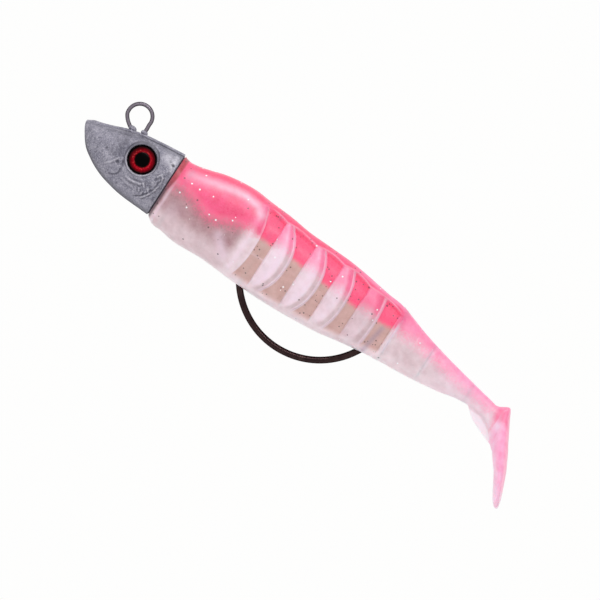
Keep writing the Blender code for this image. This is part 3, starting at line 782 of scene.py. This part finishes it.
def hook_path():
    """Path and radii of the hook: ring eye, shank, offset, wide bend and needle point."""
    ring = arc((YAW_X + HOOK_EYE_RADIUS, PITCH_HEIGHT), HOOK_EYE_RADIUS, 52, 318, 40)
    neck = smooth_path([ring[-1], (31.0, -1.75), (32.4, -1.25), (34.2, -1.2), (38.2, -1.3)], 6)[1:]
    offset = smooth_path([(38.9, -1.45), (40.1, -2.25), (41.3, -3.7), (44.75, -9.5)], 8)
    bend = arc(BEND_CENTRE, BEND_RADIUS, -146, 0, 90)
    crown = arc(CROWN_CENTRE, CROWN_RADIUS, 8, 82, 24)
    fractions = np.linspace(0.08, 1.0, 24)
    spear = [tuple(np.array(crown[-1]) * (1 - t) + np.array(HOOK_TIP) * t) for t in fractions]
    path = ring + neck + offset + bend + crown + spear
    radii = np.full(len(path), HOOK_WIRE / 2)
    radii[:len(ring)] = EYE_RING_WIRE / 2
    taper = np.interp(fractions, [0.0, 0.76, 0.9, 0.97, 1.0], [1.0, 1.0, 0.62, 0.3, 0.08])
    radii[-len(spear):] *= taper
    return path, radii


def make_wires():
    steel = wire_metal("tie_steel", srgb(30, 22, 31), srgb(132, 124, 134), (0.18, 0.3))
    tie = joined("line_tie", [wire_grid(smooth_path(tie_wire_path(), 4), TIE_WIRE / 2)])
    path, radii = hook_path()
    hook = joined("hook_wire", [wire_grid(path, radii, 32)])
    link_path = arc((PITCH_X + LINK_HALF_WIDTH, 0.0), LINK_HALF_WIDTH, 90, 270, 24)
    link_path += arc((LINK_END_X - LINK_HALF_WIDTH, 0.0), LINK_HALF_WIDTH, -90, 90, 24)
    link_path.append((PITCH_X + LINK_HALF_WIDTH + 0.02, LINK_HALF_WIDTH))
    link = joined("link_wire", [wire_grid(link_path, LINK_WIRE / 2, 20, PITCH_HEIGHT)])
    bright = wire_metal("link_steel", srgb(150, 148, 152), srgb(196, 194, 198), (0.2, 0.32))
    rows = [
        (tie, steel, "line_tie_wire", "tie_steel", "head"),
        (link, bright, "hook_link", "link_steel", "link"),
        (hook, hook_metal(), "hook", "hook_black_nickel", "hook_carrier"),
    ]
    for piece, material, node, slot, body in rows:
        points = design_points(piece)
        store(piece, "rest", points)
        # Painted sheen: light on the faces that look out of the wire's plane, dark on its edges in that
        # plane.
        off_plane = points[:, 2] - PITCH_HEIGHT if piece is link else points[:, 1]
        store(piece, "painted_sheen", ramp((np.abs(off_plane) / np.abs(off_plane).max() - 0.62) / 0.36))
        piece.data.materials.append(material)
        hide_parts(node)
        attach(piece, body)


# ---------------------------------------------------------------- soft body


def rib_edge(rib, z):
    """x of a rib's curved rear edge at height z."""
    _, middle, curve = RIBS[rib]
    return middle - curve * np.abs((z - EDGE_MIDDLE) / EDGE_HALF_HEIGHT) ** 2.5


def rib_crest(rib, z):
    """x of a rib's crest at height z. It bows away from the front wall at mid height."""
    wall = RIBS[rib][0]
    fraction = np.clip(0.64 - 0.3 * ((z - EDGE_MIDDLE) / EDGE_HALF_HEIGHT) ** 2, 0.2, 0.64)
    return wall + fraction * (rib_edge(rib, z) - wall)


def rib_profile(u):
    """Height of a rib from its steep front wall at 0, over its crest, to its rear edge at 1."""
    knots = [0.0, 0.03, 0.07, 0.3, CREST - 0.1, CREST, CREST + 0.12, 0.86, 0.93, 0.97, 1.0]
    heights = [-0.8, -0.5, -0.28, -0.02, 0.15, 0.17, 0.06, -0.32, -0.30, -0.42, -0.6]
    return np.interp(u, knots, heights)


def flank_height(x, z):
    """Height of the flank over the plain outline, then how much it is window, rib crest and rear lip."""
    u = (x - RIBS[0][0]) / (rib_edge(0, z) - RIBS[0][0])
    on_first = (u > 0) & (u <= 1)
    height = np.where(on_first, 0.12 * ridge(u - 0.42, 0.3) - 0.5 * ramp((u - 0.4) / 0.62), 0.0)
    # The crest and lip amounts become painted highlights on the skin.
    crest = np.where(on_first, 0.6 * ridge(u - 0.42, 0.2) * ramp((2.0 - z) / 3.0), 0.0)
    lip = np.where(on_first, 0.6 * np.interp(u, [0.82, 0.93, 1.0], [0.0, 1.0, 0.9]), 0.0)
    floor = np.zeros(x.shape)
    for rib, (wall, _, _) in enumerate(RIBS):
        edge = rib_edge(rib, z)
        next_wall = RIBS[rib + 1][0] if rib + 1 < len(RIBS) else LAST_WALL
        in_window = (x > edge) & (x < next_wall)
        step = 0.2 * np.exp(-np.clip(x - edge, 0.0, 5.0) / 0.25)
        height = np.where(in_window, step - WINDOW_DEPTH, height)
        floor = np.maximum(floor, ramp((x - edge) / 0.12) * ramp((next_wall - x) / 0.1))
        if rib:
            top = rib_crest(rib, z)
            on_rib = (x >= wall) & (x <= edge)
            before = (x - wall) / (top - wall) * CREST
            after = CREST + (x - top) / (edge - top) * (1 - CREST)
            v = np.where(x < top, before, after)
            fade = (0.4 + 0.6 * ramp((2.8 - z) / 4.0)) * (0.45 + 0.55 * ramp((z + 10.0) / 3.0))
            height = np.where(on_rib, rib_profile(v), height)
            knots = [0.0, 0.25, CREST - 0.08, CREST + 0.02, CREST + 0.14]
            rise = np.interp(v, knots, [0.35, 0.6, 1.0, 0.8, 0.0])
            crest = np.where(on_rib, rise * CREST_STRENGTH[rib] * fade, crest)
            lip = np.where(on_rib, np.interp(v, [0.84, 0.92, 1.0], [0.0, 1.0, 0.9]), lip)
    last = (x - LAST_WALL) / 1.6
    on_last = (last >= 0) & (last <= 1)
    last_rise = np.interp(last, [0, 0.25, 0.5, 0.65, 1], [-0.5, -0.3, 0.0, 0.07, 0.0])
    height = np.where(on_last, last_rise, height)
    crest = np.where(on_last, 0.9 * ridge(last - 0.52, 0.2) * between(z, -7.2, 1.5, 1.4, 2.5), crest)
    return height, floor, crest, lip


def arch_dip(x):
    """How far the fold over the windows dips between its arches, one arch for each window."""
    walls = np.array([wall for wall, _, _ in RIBS] + [LAST_WALL])
    i = np.clip(np.searchsorted(walls, x) - 1, 0, len(walls) - 2)
    t = np.clip((x - walls[i]) / (walls[i + 1] - walls[i]), 0.0, 1.0)
    return 0.5 * (1 - np.sin(np.pi * t))


def flank_mask(x, z):
    """1 on the flank between the ridge along the back and the belly."""
    upper = ramp((outline(BODY_TOP, x) - 1.05 - arch_dip(x) - z) / 0.3)
    lower = ramp((z - outline(BODY_BOTTOM, x) - 0.7) / 1.5)
    ends = between(x, 40.4, 0.6, 79.4, 0.5)
    return upper * lower * ends


def body_relief(x, z):
    """Height of the soft body's surface over its plain outline."""
    height = flank_height(x, z)[0] * flank_mask(x, z)
    height += 0.22 * line_ridge(x, z, [(35.2, -5.0), (37.5, -6.6), (39.6, -8.4)], 0.9)
    height -= 0.16 * line_ridge(x, z, [(34.6, -7.0), (36.6, -8.6)], 0.8)
    height += 0.10 * line_ridge(x, z, [(23.2, -6.0), (25.0, -8.0)], 0.8)
    height -= 0.06 * ridge(x - SEAM_GROOVE, 0.3) * between(z, -6.2, 0.8, -0.3, 0.8)
    height -= 0.12 * ridge(x - 83.2, 0.35) * between(z, -4.0, 2.0, 1.6, 0.8)
    height -= 0.10 * ridge(x - 22.75, 0.3)
    fold = z - outline(BODY_TOP, x) + 1.0 + arch_dip(x)
    height += 0.06 * ridge(fold, 0.18) * between(x, 41.5, 2.0, 79.0, 2.0)
    height += 0.08 * ridge(z + 3.9, 0.12) * between(x, 43.4, 0.4, 48.2, 0.4)
    height += 0.03 * np.sin(x * 0.55 + 1.0) * np.sin(z * 0.8) + 0.015 * np.sin(x * 1.3 + z * 0.9)
    return height


def guide_line(guide):
    """x of a line around the body at each point of a ring. A guide is an x, or a function of height."""
    sines = np.sin(full_turn(RING_POINTS))
    x = np.full(RING_POINTS, float(guide(EDGE_MIDDLE) if callable(guide) else guide))
    if callable(guide):
        for _ in range(8):
            top = outline(BODY_TOP, x)
            bottom = outline(BODY_BOTTOM, x)
            reach = (top - bottom) / 2 * np.sign(sines) * np.abs(sines) ** (2 / BODY_POWER)
            x = guide((top + bottom) / 2 + reach)
    return x


def body_grid(guides, fractions):
    """Rings of the soft body through guide lines, with the given fractions of each stretch between two."""
    lines = [guide_line(guide) for guide in guides]
    rows = [lines[0] - SEAM_STEP]
    for first, second, steps in zip(lines, lines[1:], fractions):
        rows += [first * (1 - t) + second * t for t in steps[:-1]]
    rows += [lines[-1], lines[-1] + SEAM_STEP]
    x = np.array(rows)
    sizes = [outline(points, x) for points in (BODY_TOP, BODY_BOTTOM, BODY_HALF_WIDTH)]
    grid = oval_grid(x, *sizes, BODY_POWER)
    normals = ring_normals(grid)
    side = ramp((np.abs(normals[..., 1]) - 0.1) / 0.35)
    return (grid + normals * (body_relief(x, grid[..., 2]) * side)[..., None])[1:-1]


def store_soft(piece):
    """Keep on the skin where it is pink, pale, thin or flaked, a mauve band, and painted highlights and
    shade.
    """
    points = design_points(piece)
    x, y, z = points.T
    line = outline(PINK_LINE, x)
    _, floor, crest, lip = flank_height(x, z)
    mask = flank_mask(x, z)
    top = outline(BODY_TOP, x)
    groove = ridge(x - SEAM_GROOVE + 0.1, 0.24) * between(z, -6.0, 1.2, -0.2, 1.2)
    window = floor * mask
    on_rib = (1 - floor) * mask * between(x, 44.0, 1.5, 77.9, 0.4)
    ribbed = ramp((x - 41.0) / 3.0) * (x < 78.0)
    softness = 5.0 - 3.4 * ribbed + 2.4 * on_rib
    pink = ramp((z - line - 0.7 * on_rib) / softness + 0.5)
    blade = path_distance(x, z, PADDLE_REAR)
    pink = np.maximum(pink, ramp((x + 0.45 * z - 101.4) / 3.2))
    web = ramp((-6.3 - z - 0.55 * (x - 103.0) * (x > 103.0)) / 0.3)
    web = web * (x > 99.4) * (x < 107.4) * (np.abs(y) < 0.75)
    pink = pink * (1 - web)
    # Lighter pink on the ribs, along the back behind x 60, on the stem and on the paddle; on the ribs it is
    # partly painted highlight, and at x 41.7 it is the painted highlight of the first rib's crest.
    pale = np.interp(x, [44.0, 60.0, 68.0, 74.0], [0.8, 0.7, 0.4, 0.25]) * on_rib
    pale += 0.45 * ramp((z - top + 1.0) / 0.5) * between(x, 60.0, 10.0, 79.0, 2.0)
    pale += np.interp(x, [77.0, 80.0, 88.0, 97.0, 103.0, 106.0], [0.0, 0.55, 0.6, 0.9, 0.75, 0.5])
    pale += 0.45 * ridge(x - 41.7, 1.1) * ramp(z / 2.0)
    pale = np.maximum(pale, ramp((-2.8 - z) / 3.5) * ramp((blade + 0.4) / 1.6) * (x > 106.5))
    # Painted shade: the rear slope of each rib is made less pale and darker mauve.
    rear = on_rib * (1 - np.clip(crest * 1.6, 0, 1))
    pale *= 1 - 0.4 * rear * (x > 46.0)
    # Painted highlight along the fold over the windows.
    fold = ridge(z - top + 1.0 + arch_dip(x), 0.16) * between(x, 42.5, 2.0, 78.0, 2.0)
    # A real pale mould line.
    mould_line = ridge(z + 3.9, 0.12) * between(x, 43.4, 0.4, 48.2, 0.4) * window
    # Painted highlights: a patch low on the front and a band along the shoulder.
    highlight_patch = line_ridge(x, z, [(36.5, -4.6), (39.4, -7.6)], 1.1)
    highlight_patch += 0.5 * spot_ridge(x, z, (25.5, -5.2), 1.6)
    shoulder_line = [(24.5, 2.9), (28.5, 3.8), (33.5, 5.0), (37.0, 5.5), (40.0, 5.1), (42.0, 3.8)]
    shoulder_highlight = line_ridge(x, z, shoulder_line, 0.95)
    shoulder_highlight = shoulder_highlight * np.interp(x, [24.0, 32.0, 38.0, 43.0], [0.5, 0.9, 1.0, 0.6])
    # Painted light: the stem's lower side and the paddle lightened, with a painted highlight spot on the
    # paddle.
    tail_painted_light = 0.35 * ramp((x - 86.0) / 10.0) * (x < 106.0) * (1 - pink) + 0.45 * ramp((-15.0 - z) / 5.0)
    tail_painted_light += 0.6 * spot_ridge(x, z, (107.3, -6.3), 1.0) + 0.3 * ramp((-9.0 - z) / 9.0)
    tail_painted_light += 0.25 * ramp((blade - 1.2) / 1.2) * (x > 106.5)
    # Painted highlight in the pearl mask: rib crests and lips, the fold, the front patch, the shoulder, the
    # tail, the collar's lower edge and around the groove, which is lightened; the mould line in it is real.
    pearl = 0.85 * crest * mask + 0.55 * lip * mask + 0.5 * highlight_patch + 0.4 * fold + 0.5 * mould_line
    pearl += 0.8 * shoulder_highlight + tail_painted_light + 0.5 * ridge(x - 22.75, 0.3) * (1 - pink)
    pearl += 0.3 * groove + 0.35 * ridge(x - SEAM_GROOVE - 0.45, 0.2) * between(z, -6.0, 1.2, 0.4, 1.2)
    haze_and_shade = ramp((line + 2.2 - z) / 2.4) * (0.3 + 0.65 * ramp((z + 8.0) / 3.5)) * ramp((42.0 - x) / 3.0)
    haze_and_shade += 0.2 * ramp((line - z) / 1.0) * ramp((z + 7.0) / 2.0) * (x > 78.0) * ramp((98.0 - x) / 10.0)
    # Painted shade on the rear slopes of the ribs.
    haze_and_shade += 0.3 * rear * (1 + 0.5 * (x > 66.0))
    flakes = ramp((90.0 - x) / 8.0) * 0.9 + 0.1
    hook_line = 75.9 - 0.16 * np.clip(line - z, 0.0, 9.0)
    hook_shade = 0.5 * ridge(x - hook_line, 0.6) * ramp((line - z) / 1.0) * (x > 74.0) * (x < 77.6)
    # Painted shade: a deeper pink along the top outline, fading out towards the tail.
    deep = ramp((z - top + 1.5) / 0.6) * np.interp(x, [22.0, 26.0, 50.0, 66.0], [0.5, 0.8, 0.7, 0.0])
    store(piece, "rest", points)
    lip_shade = 0.95 * ramp((22.4 + 0.6 * pink - x) / 0.5)
    for name, values in (
        ("deep", deep), ("pink", pink), ("window", window), ("pale", pale), ("pearl", pearl), ("haze_and_shade", haze_and_shade),
        ("lip", lip_shade), ("thin", 0.8 * web), ("flakes", flakes), ("shade", hook_shade),
    ):
        store(piece, name, np.clip(values, 0.0, 1.0))


def cutter_plate(name, corners, half_width):
    """A flat plate in the middle plane, used to cut a slit and then removed."""
    count = len(corners)
    points = [(x, side * half_width, z) for side in (-1, 1) for x, z in corners]
    faces = [tuple(range(count)), tuple(range(2 * count - 1, count - 1, -1))]
    for i in range(count):
        j = (i + 1) % count
        faces.append((i, count + i, count + j, j))
    return mesh_object(name, points, faces)


def cut(piece, tools):
    for tool in tools:
        modifier = piece.modifiers.new(tool.name, "BOOLEAN")
        modifier.operation = "DIFFERENCE"
        modifier.object = tool
        modifier.solver = "EXACT"
    apply_modifiers(piece)
    for tool in tools:
        bpy.data.objects.remove(tool, do_unlink=True)


def finish_soft(piece, material, nodes, sharp=42):
    store_soft(piece)
    piece.data.shade_smooth()
    piece.data.set_sharp_from_angle(angle=math.radians(sharp))
    piece.data.materials.clear()
    piece.data.materials.append(material)
    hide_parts(*nodes)
    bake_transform(piece)


def first_edge(z):
    return rib_edge(0, z)


def ribbed_grid():
    """The ribbed stretch, with rings that follow each rib's wall, crest and rear edge."""
    to_crest = np.concatenate([np.linspace(0.0, 0.125, 7), np.linspace(0.16, 1.0, 20)])
    to_edge = np.concatenate([np.linspace(0.0, 0.68, 12), np.linspace(0.72, 1.0, 10)])
    window = fractions_of(26)
    guides = [SEAM_RIBBED]
    fractions = [window]
    for rib in range(1, len(RIBS)):
        guides += [RIBS[rib][0], functools.partial(rib_crest, rib), functools.partial(rib_edge, rib)]
        fractions += [to_crest, to_edge, window]
    guides += [LAST_WALL, SEAM_STEM]
    fractions.append(fractions_of(14))
    return body_grid(guides, fractions)


def make_skins(material):
    collar = joined("skin_collar", [body_grid([HEAD_LENGTH + 0.04, SEAM_COLLAR], [fractions_of(26)])])
    finish_soft(collar, material, ["nose_collar"])

    front_guides = [SEAM_COLLAR, RIBS[0][0], first_edge, SEAM_RIBBED]
    front = joined("skin_front", [body_grid(front_guides, [fractions_of(n) for n in (110, 44, 14)])])
    finish_soft(front, material, ["front_sleeve"])

    ribbed = joined("skin_ribbed", [ribbed_grid()])
    belly_slit = [(44.9, -6.0), (47.0, -5.2), (50.8, -8.6), (50.8, -14.0), (44.9, -14.0)]
    back_slit = [
        (66.0, -14.0), (77.4, -14.0), (77.4, 11.0), (47.2, 11.0),
        (47.2, 5.6), (60.0, 3.85), (69.6, 2.2), (69.6, -4.5), (66.0, -8.5),
    ]
    cut(ribbed, [
        cutter_plate("belly_slit", belly_slit, SLOT_HALF_WIDTH),
        cutter_plate("back_slit", back_slit, SLOT_HALF_WIDTH),
    ])
    finish_soft(ribbed, material, ["mid_body"])

    stem = joined("skin_stem_front", [body_grid([SEAM_STEM, SEAM_GROOVE], [fractions_of(70)])])
    finish_soft(stem, material, ["tail_front"])

    rear = joined("skin_stem_rear", [body_grid([SEAM_GROOVE, SEAM_PADDLE], [fractions_of(70)])])
    finish_soft(rear, material, ["tail_rear"])


# Paddle: points down the rear of the blade from heel to tip, and its thickness and half width at each.
PADDLE_REAR = [
    (107.3, -1.5), (107.9, -2.0), (109.0, -4.1), (110.2, -6.2), (111.3, -8.2), (112.1, -9.5),
    (113.2, -11.6), (114.1, -13.3), (115.4, -16.4), (116.4, -19.1), (116.75, -20.9),
]
PADDLE_THICKNESS = [0.8, 1.7, 2.5, 3.0, 3.4, 3.4, 3.05, 2.7, 2.25, 1.75, 1.2]
PADDLE_HALF_WIDTH = [1.6, 2.3, 3.2, 3.9, 4.3, 4.5, 4.6, 4.45, 3.9, 3.1, 2.2]
STUB_TOP = [
    (97.4, -1.24), (98.4, -1.44), (103.3, -2.4), (105.0, -2.7), (106.2, -2.15), (107.2, -1.65), (107.8, -2.1),
    (109.0, -4.4),
]
STUB_BOTTOM = [
    (97.4, -6.2), (98.4, -6.02), (103.3, -6.35), (104.6, -6.8), (105.4, -7.5), (106.6, -8.9), (109.0, -11.2),
]
STUB_HALF_WIDTH = [(97.4, 1.63), (98.4, 1.57), (103.3, 1.4), (105.0, 1.6), (106.6, 2.1), (109.0, 2.6)]
WEB_OUTLINE = [
    (99.4, -5.6), (100.4, -6.6), (102.0, -7.9), (104.5, -9.0), (107.0, -10.0), (108.4, -10.4), (107.0, -6.0),
]


def paddle_grid():
    """The blade as rings from heel to tip."""
    count = 64
    angles = full_turn(count)
    rear = np.array(PADDLE_REAR)
    steps = fractions_of(len(rear))
    t = np.concatenate([np.linspace(0.0, 0.9, 54), 1 - 0.1 * np.cos(np.linspace(0.1, 1.0, 10) * np.pi / 2)])
    spine = np.stack([outline(list(zip(steps, rear[:, k])), t) for k in (0, 1)], axis=1)
    along = np.gradient(spine, axis=0)
    along /= np.linalg.norm(along, axis=1, keepdims=True)
    forward = np.stack([along[:, 1], -along[:, 0]], axis=1)
    rounding = np.sqrt(1 - 0.97 * np.clip((t - 0.9) / 0.1, 0.0, 1.0) ** 2)
    thick = (outline(list(zip(steps, PADDLE_THICKNESS)), t) * (0.4 + 0.6 * rounding))[:, None]
    width = (outline(list(zip(steps, PADDLE_HALF_WIDTH)), t) * rounding)[:, None]
    depth = (1 + np.sign(np.sin(angles)) * np.abs(np.sin(angles)) ** 0.9)[None, :] / 2 * thick
    y = width * np.cos(angles)[None, :]
    x = spine[:, :1] + forward[:, :1] * depth
    z = spine[:, 1:] + forward[:, 1:] * depth
    return np.stack([x, y, z], axis=2)


def make_paddle(material):
    """Wrist, blade and web melted into one form."""
    stations = np.linspace(SEAM_PADDLE - 1.0, 109.0, 84)
    x = np.repeat(stations[:, None], 80, axis=1)
    stub = oval_grid(x, outline(STUB_TOP, x), outline(STUB_BOTTOM, x), outline(STUB_HALF_WIDTH, x), 2.3)
    paddle = joined("skin_paddle", [stub, paddle_grid()])
    web = cutter_plate("web_plate", WEB_OUTLINE, 0.36)
    union = paddle.modifiers.new("web", "BOOLEAN")
    union.operation = "UNION"
    union.object = web
    union.solver = "EXACT"
    union.use_self = True
    apply_modifiers(paddle)
    bpy.data.objects.remove(web, do_unlink=True)
    melt = paddle.modifiers.new("melt", "REMESH")
    melt.mode = "VOXEL"
    melt.voxel_size = 0.17 * MM
    smooth = paddle.modifiers.new("smooth", "SMOOTH")
    smooth.factor = 0.5
    smooth.iterations = 14
    apply_modifiers(paddle)
    side = 40.0
    ahead = SEAM_PADDLE - side
    corners = [(ahead, -side), (SEAM_PADDLE, -side), (SEAM_PADDLE, side), (ahead, side)]
    cut(paddle, [cutter_plate("cut_away", corners, side)])
    finish_soft(paddle, material, ["paddle", "tail_web"], 75)


# ---------------------------------------------------------------- stage


CAMERA_POINT = (58.1, -6.6)
FRAME_WIDTH = 126.0
TILT = math.radians(33.0)
LENS = 500.0
SENSOR = 36.0


def make_camera():
    data = bpy.data.cameras.new("camera")
    data.lens = LENS
    data.sensor_width = SENSOR
    data.clip_start = 0.01
    camera = bpy.data.objects.new("camera", data)
    bpy.context.scene.collection.objects.link(camera)
    right = Vector((math.cos(TILT), 0.0, math.sin(TILT)))
    up = Vector((-math.sin(TILT), 0.0, math.cos(TILT)))
    back = right.cross(up)
    spot = place(CAMERA_POINT[0], 0, CAMERA_POINT[1]) + back * (FRAME_WIDTH * MM * LENS / SENSOR)
    camera.matrix_world = Matrix.Translation(spot) @ Matrix((right, up, back)).transposed().to_4x4()
    bpy.context.scene.camera = camera


def make_softbox(name, direction, distance, size, power):
    data = bpy.data.lights.new(name, "AREA")
    data.shape = "RECTANGLE"
    data.size = size[0]
    data.size_y = size[1]
    data.energy = power
    light = bpy.data.objects.new(name, data)
    bpy.context.scene.collection.objects.link(light)
    away = Vector(direction).normalized()
    light.location = place(55.0, 0.0, -3.0) + away * distance
    light.rotation_euler = away.to_track_quat("Z", "Y").to_euler()


def make_world():
    """White to the camera, and a soft pale room, lighter above, to everything else."""
    world = bpy.data.worlds.new("room")
    bpy.context.scene.world = world
    world.use_nodes = True
    world.node_tree.nodes.clear()
    nodes = Nodes(world.node_tree)
    parts = nodes.add("ShaderNodeSeparateXYZ", {0: nodes.add("ShaderNodeTexCoord").outputs["Generated"]})
    height = nodes.add("ShaderNodeMapRange", {"Value": parts.outputs["Z"], "From Min": -0.9, "From Max": 0.9})
    shades = nodes.add("ShaderNodeValToRGB", {0: height.outputs["Result"]})
    shades.color_ramp.elements[0].color = (0.8, 0.8, 0.81, 1.0)
    shades.color_ramp.elements[1].color = (0.94, 0.94, 0.95, 1.0)
    middle = shades.color_ramp.elements.new(0.5)
    middle.color = (0.84, 0.84, 0.85, 1.0)
    room = nodes.add("ShaderNodeBackground", {"Color": shades.outputs[0]})
    white = nodes.add("ShaderNodeBackground", {"Color": (0.99, 0.99, 0.985, 1.0)})
    seen = nodes.add("ShaderNodeLightPath").outputs["Is Camera Ray"]
    choose = nodes.add("ShaderNodeMixShader", {0: seen, 1: room.outputs[0], 2: white.outputs[0]})
    nodes.add("ShaderNodeOutputWorld", {"Surface": choose.outputs[0]})


def make_floor():
    """A round pale floor well below the lure."""
    radius = 0.34
    depth = 0.16
    spot = place(58.0, 0.0, -6.0) - Vector((0.0, 0.0, depth))
    bpy.ops.mesh.primitive_circle_add(vertices=96, radius=radius, fill_type="NGON", location=spot)
    floor = bpy.context.object
    floor.name = "studio_floor"
    look = Look("floor_paper")
    tone = look.noise(look.add("ShaderNodeTexCoord").outputs["Object"], 60.0, 4.0)
    look.set("Base Color", look.mix(tone, srgb(240, 240, 240), srgb(248, 248, 248)))
    look.set("Roughness", look.stretch(tone, 0.3, 0.7, 0.8, 0.95))
    floor.data.materials.append(look.material)


def make_stage():
    make_world()
    make_floor()
    for name, direction, distance, size, power in (
        ("key_softbox", (-0.12, -0.78, 0.6), 0.45, (0.30, 0.02), 0.35),
        ("top_softbox", (-0.25, -0.2, 0.95), 0.45, (0.40, 0.25), 0.18),
        ("nose_softbox", (-0.85, -0.5, 0.1), 0.40, (0.10, 0.25), 0.06),
        ("far_nose_softbox", (-0.75, 0.6, 0.3), 0.5, (0.25, 0.25), 0.2),
        ("far_tail_softbox", (0.75, 0.6, 0.3), 0.5, (0.25, 0.25), 0.12),
    ):
        make_softbox(name, direction, distance, size, power)
    make_camera()
    bpy.context.scene.view_settings.view_transform = "Standard"


def build():
    make_head()
    make_eyes(eye_resin())
    adhesive = eye_backing("eye_adhesive", srgb(190, 188, 180), srgb(224, 222, 214))
    print_film = eye_backing("eye_print", srgb(120, 4, 16), srgb(190, 20, 40))
    for side in ("left", "right"):
        for node, material in ((f"eye_pad_{side}", adhesive), (f"eye_iris_{side}", print_film)):
            slots = frame["nodes"][node].data.materials
            slots.clear()
            slots.append(material)
    make_wires()
    soft = soft_plastic("soft_plastic")
    make_skins(soft)
    make_paddle(soft)
    make_stage()


build()
bpy.context.view_layer.update()
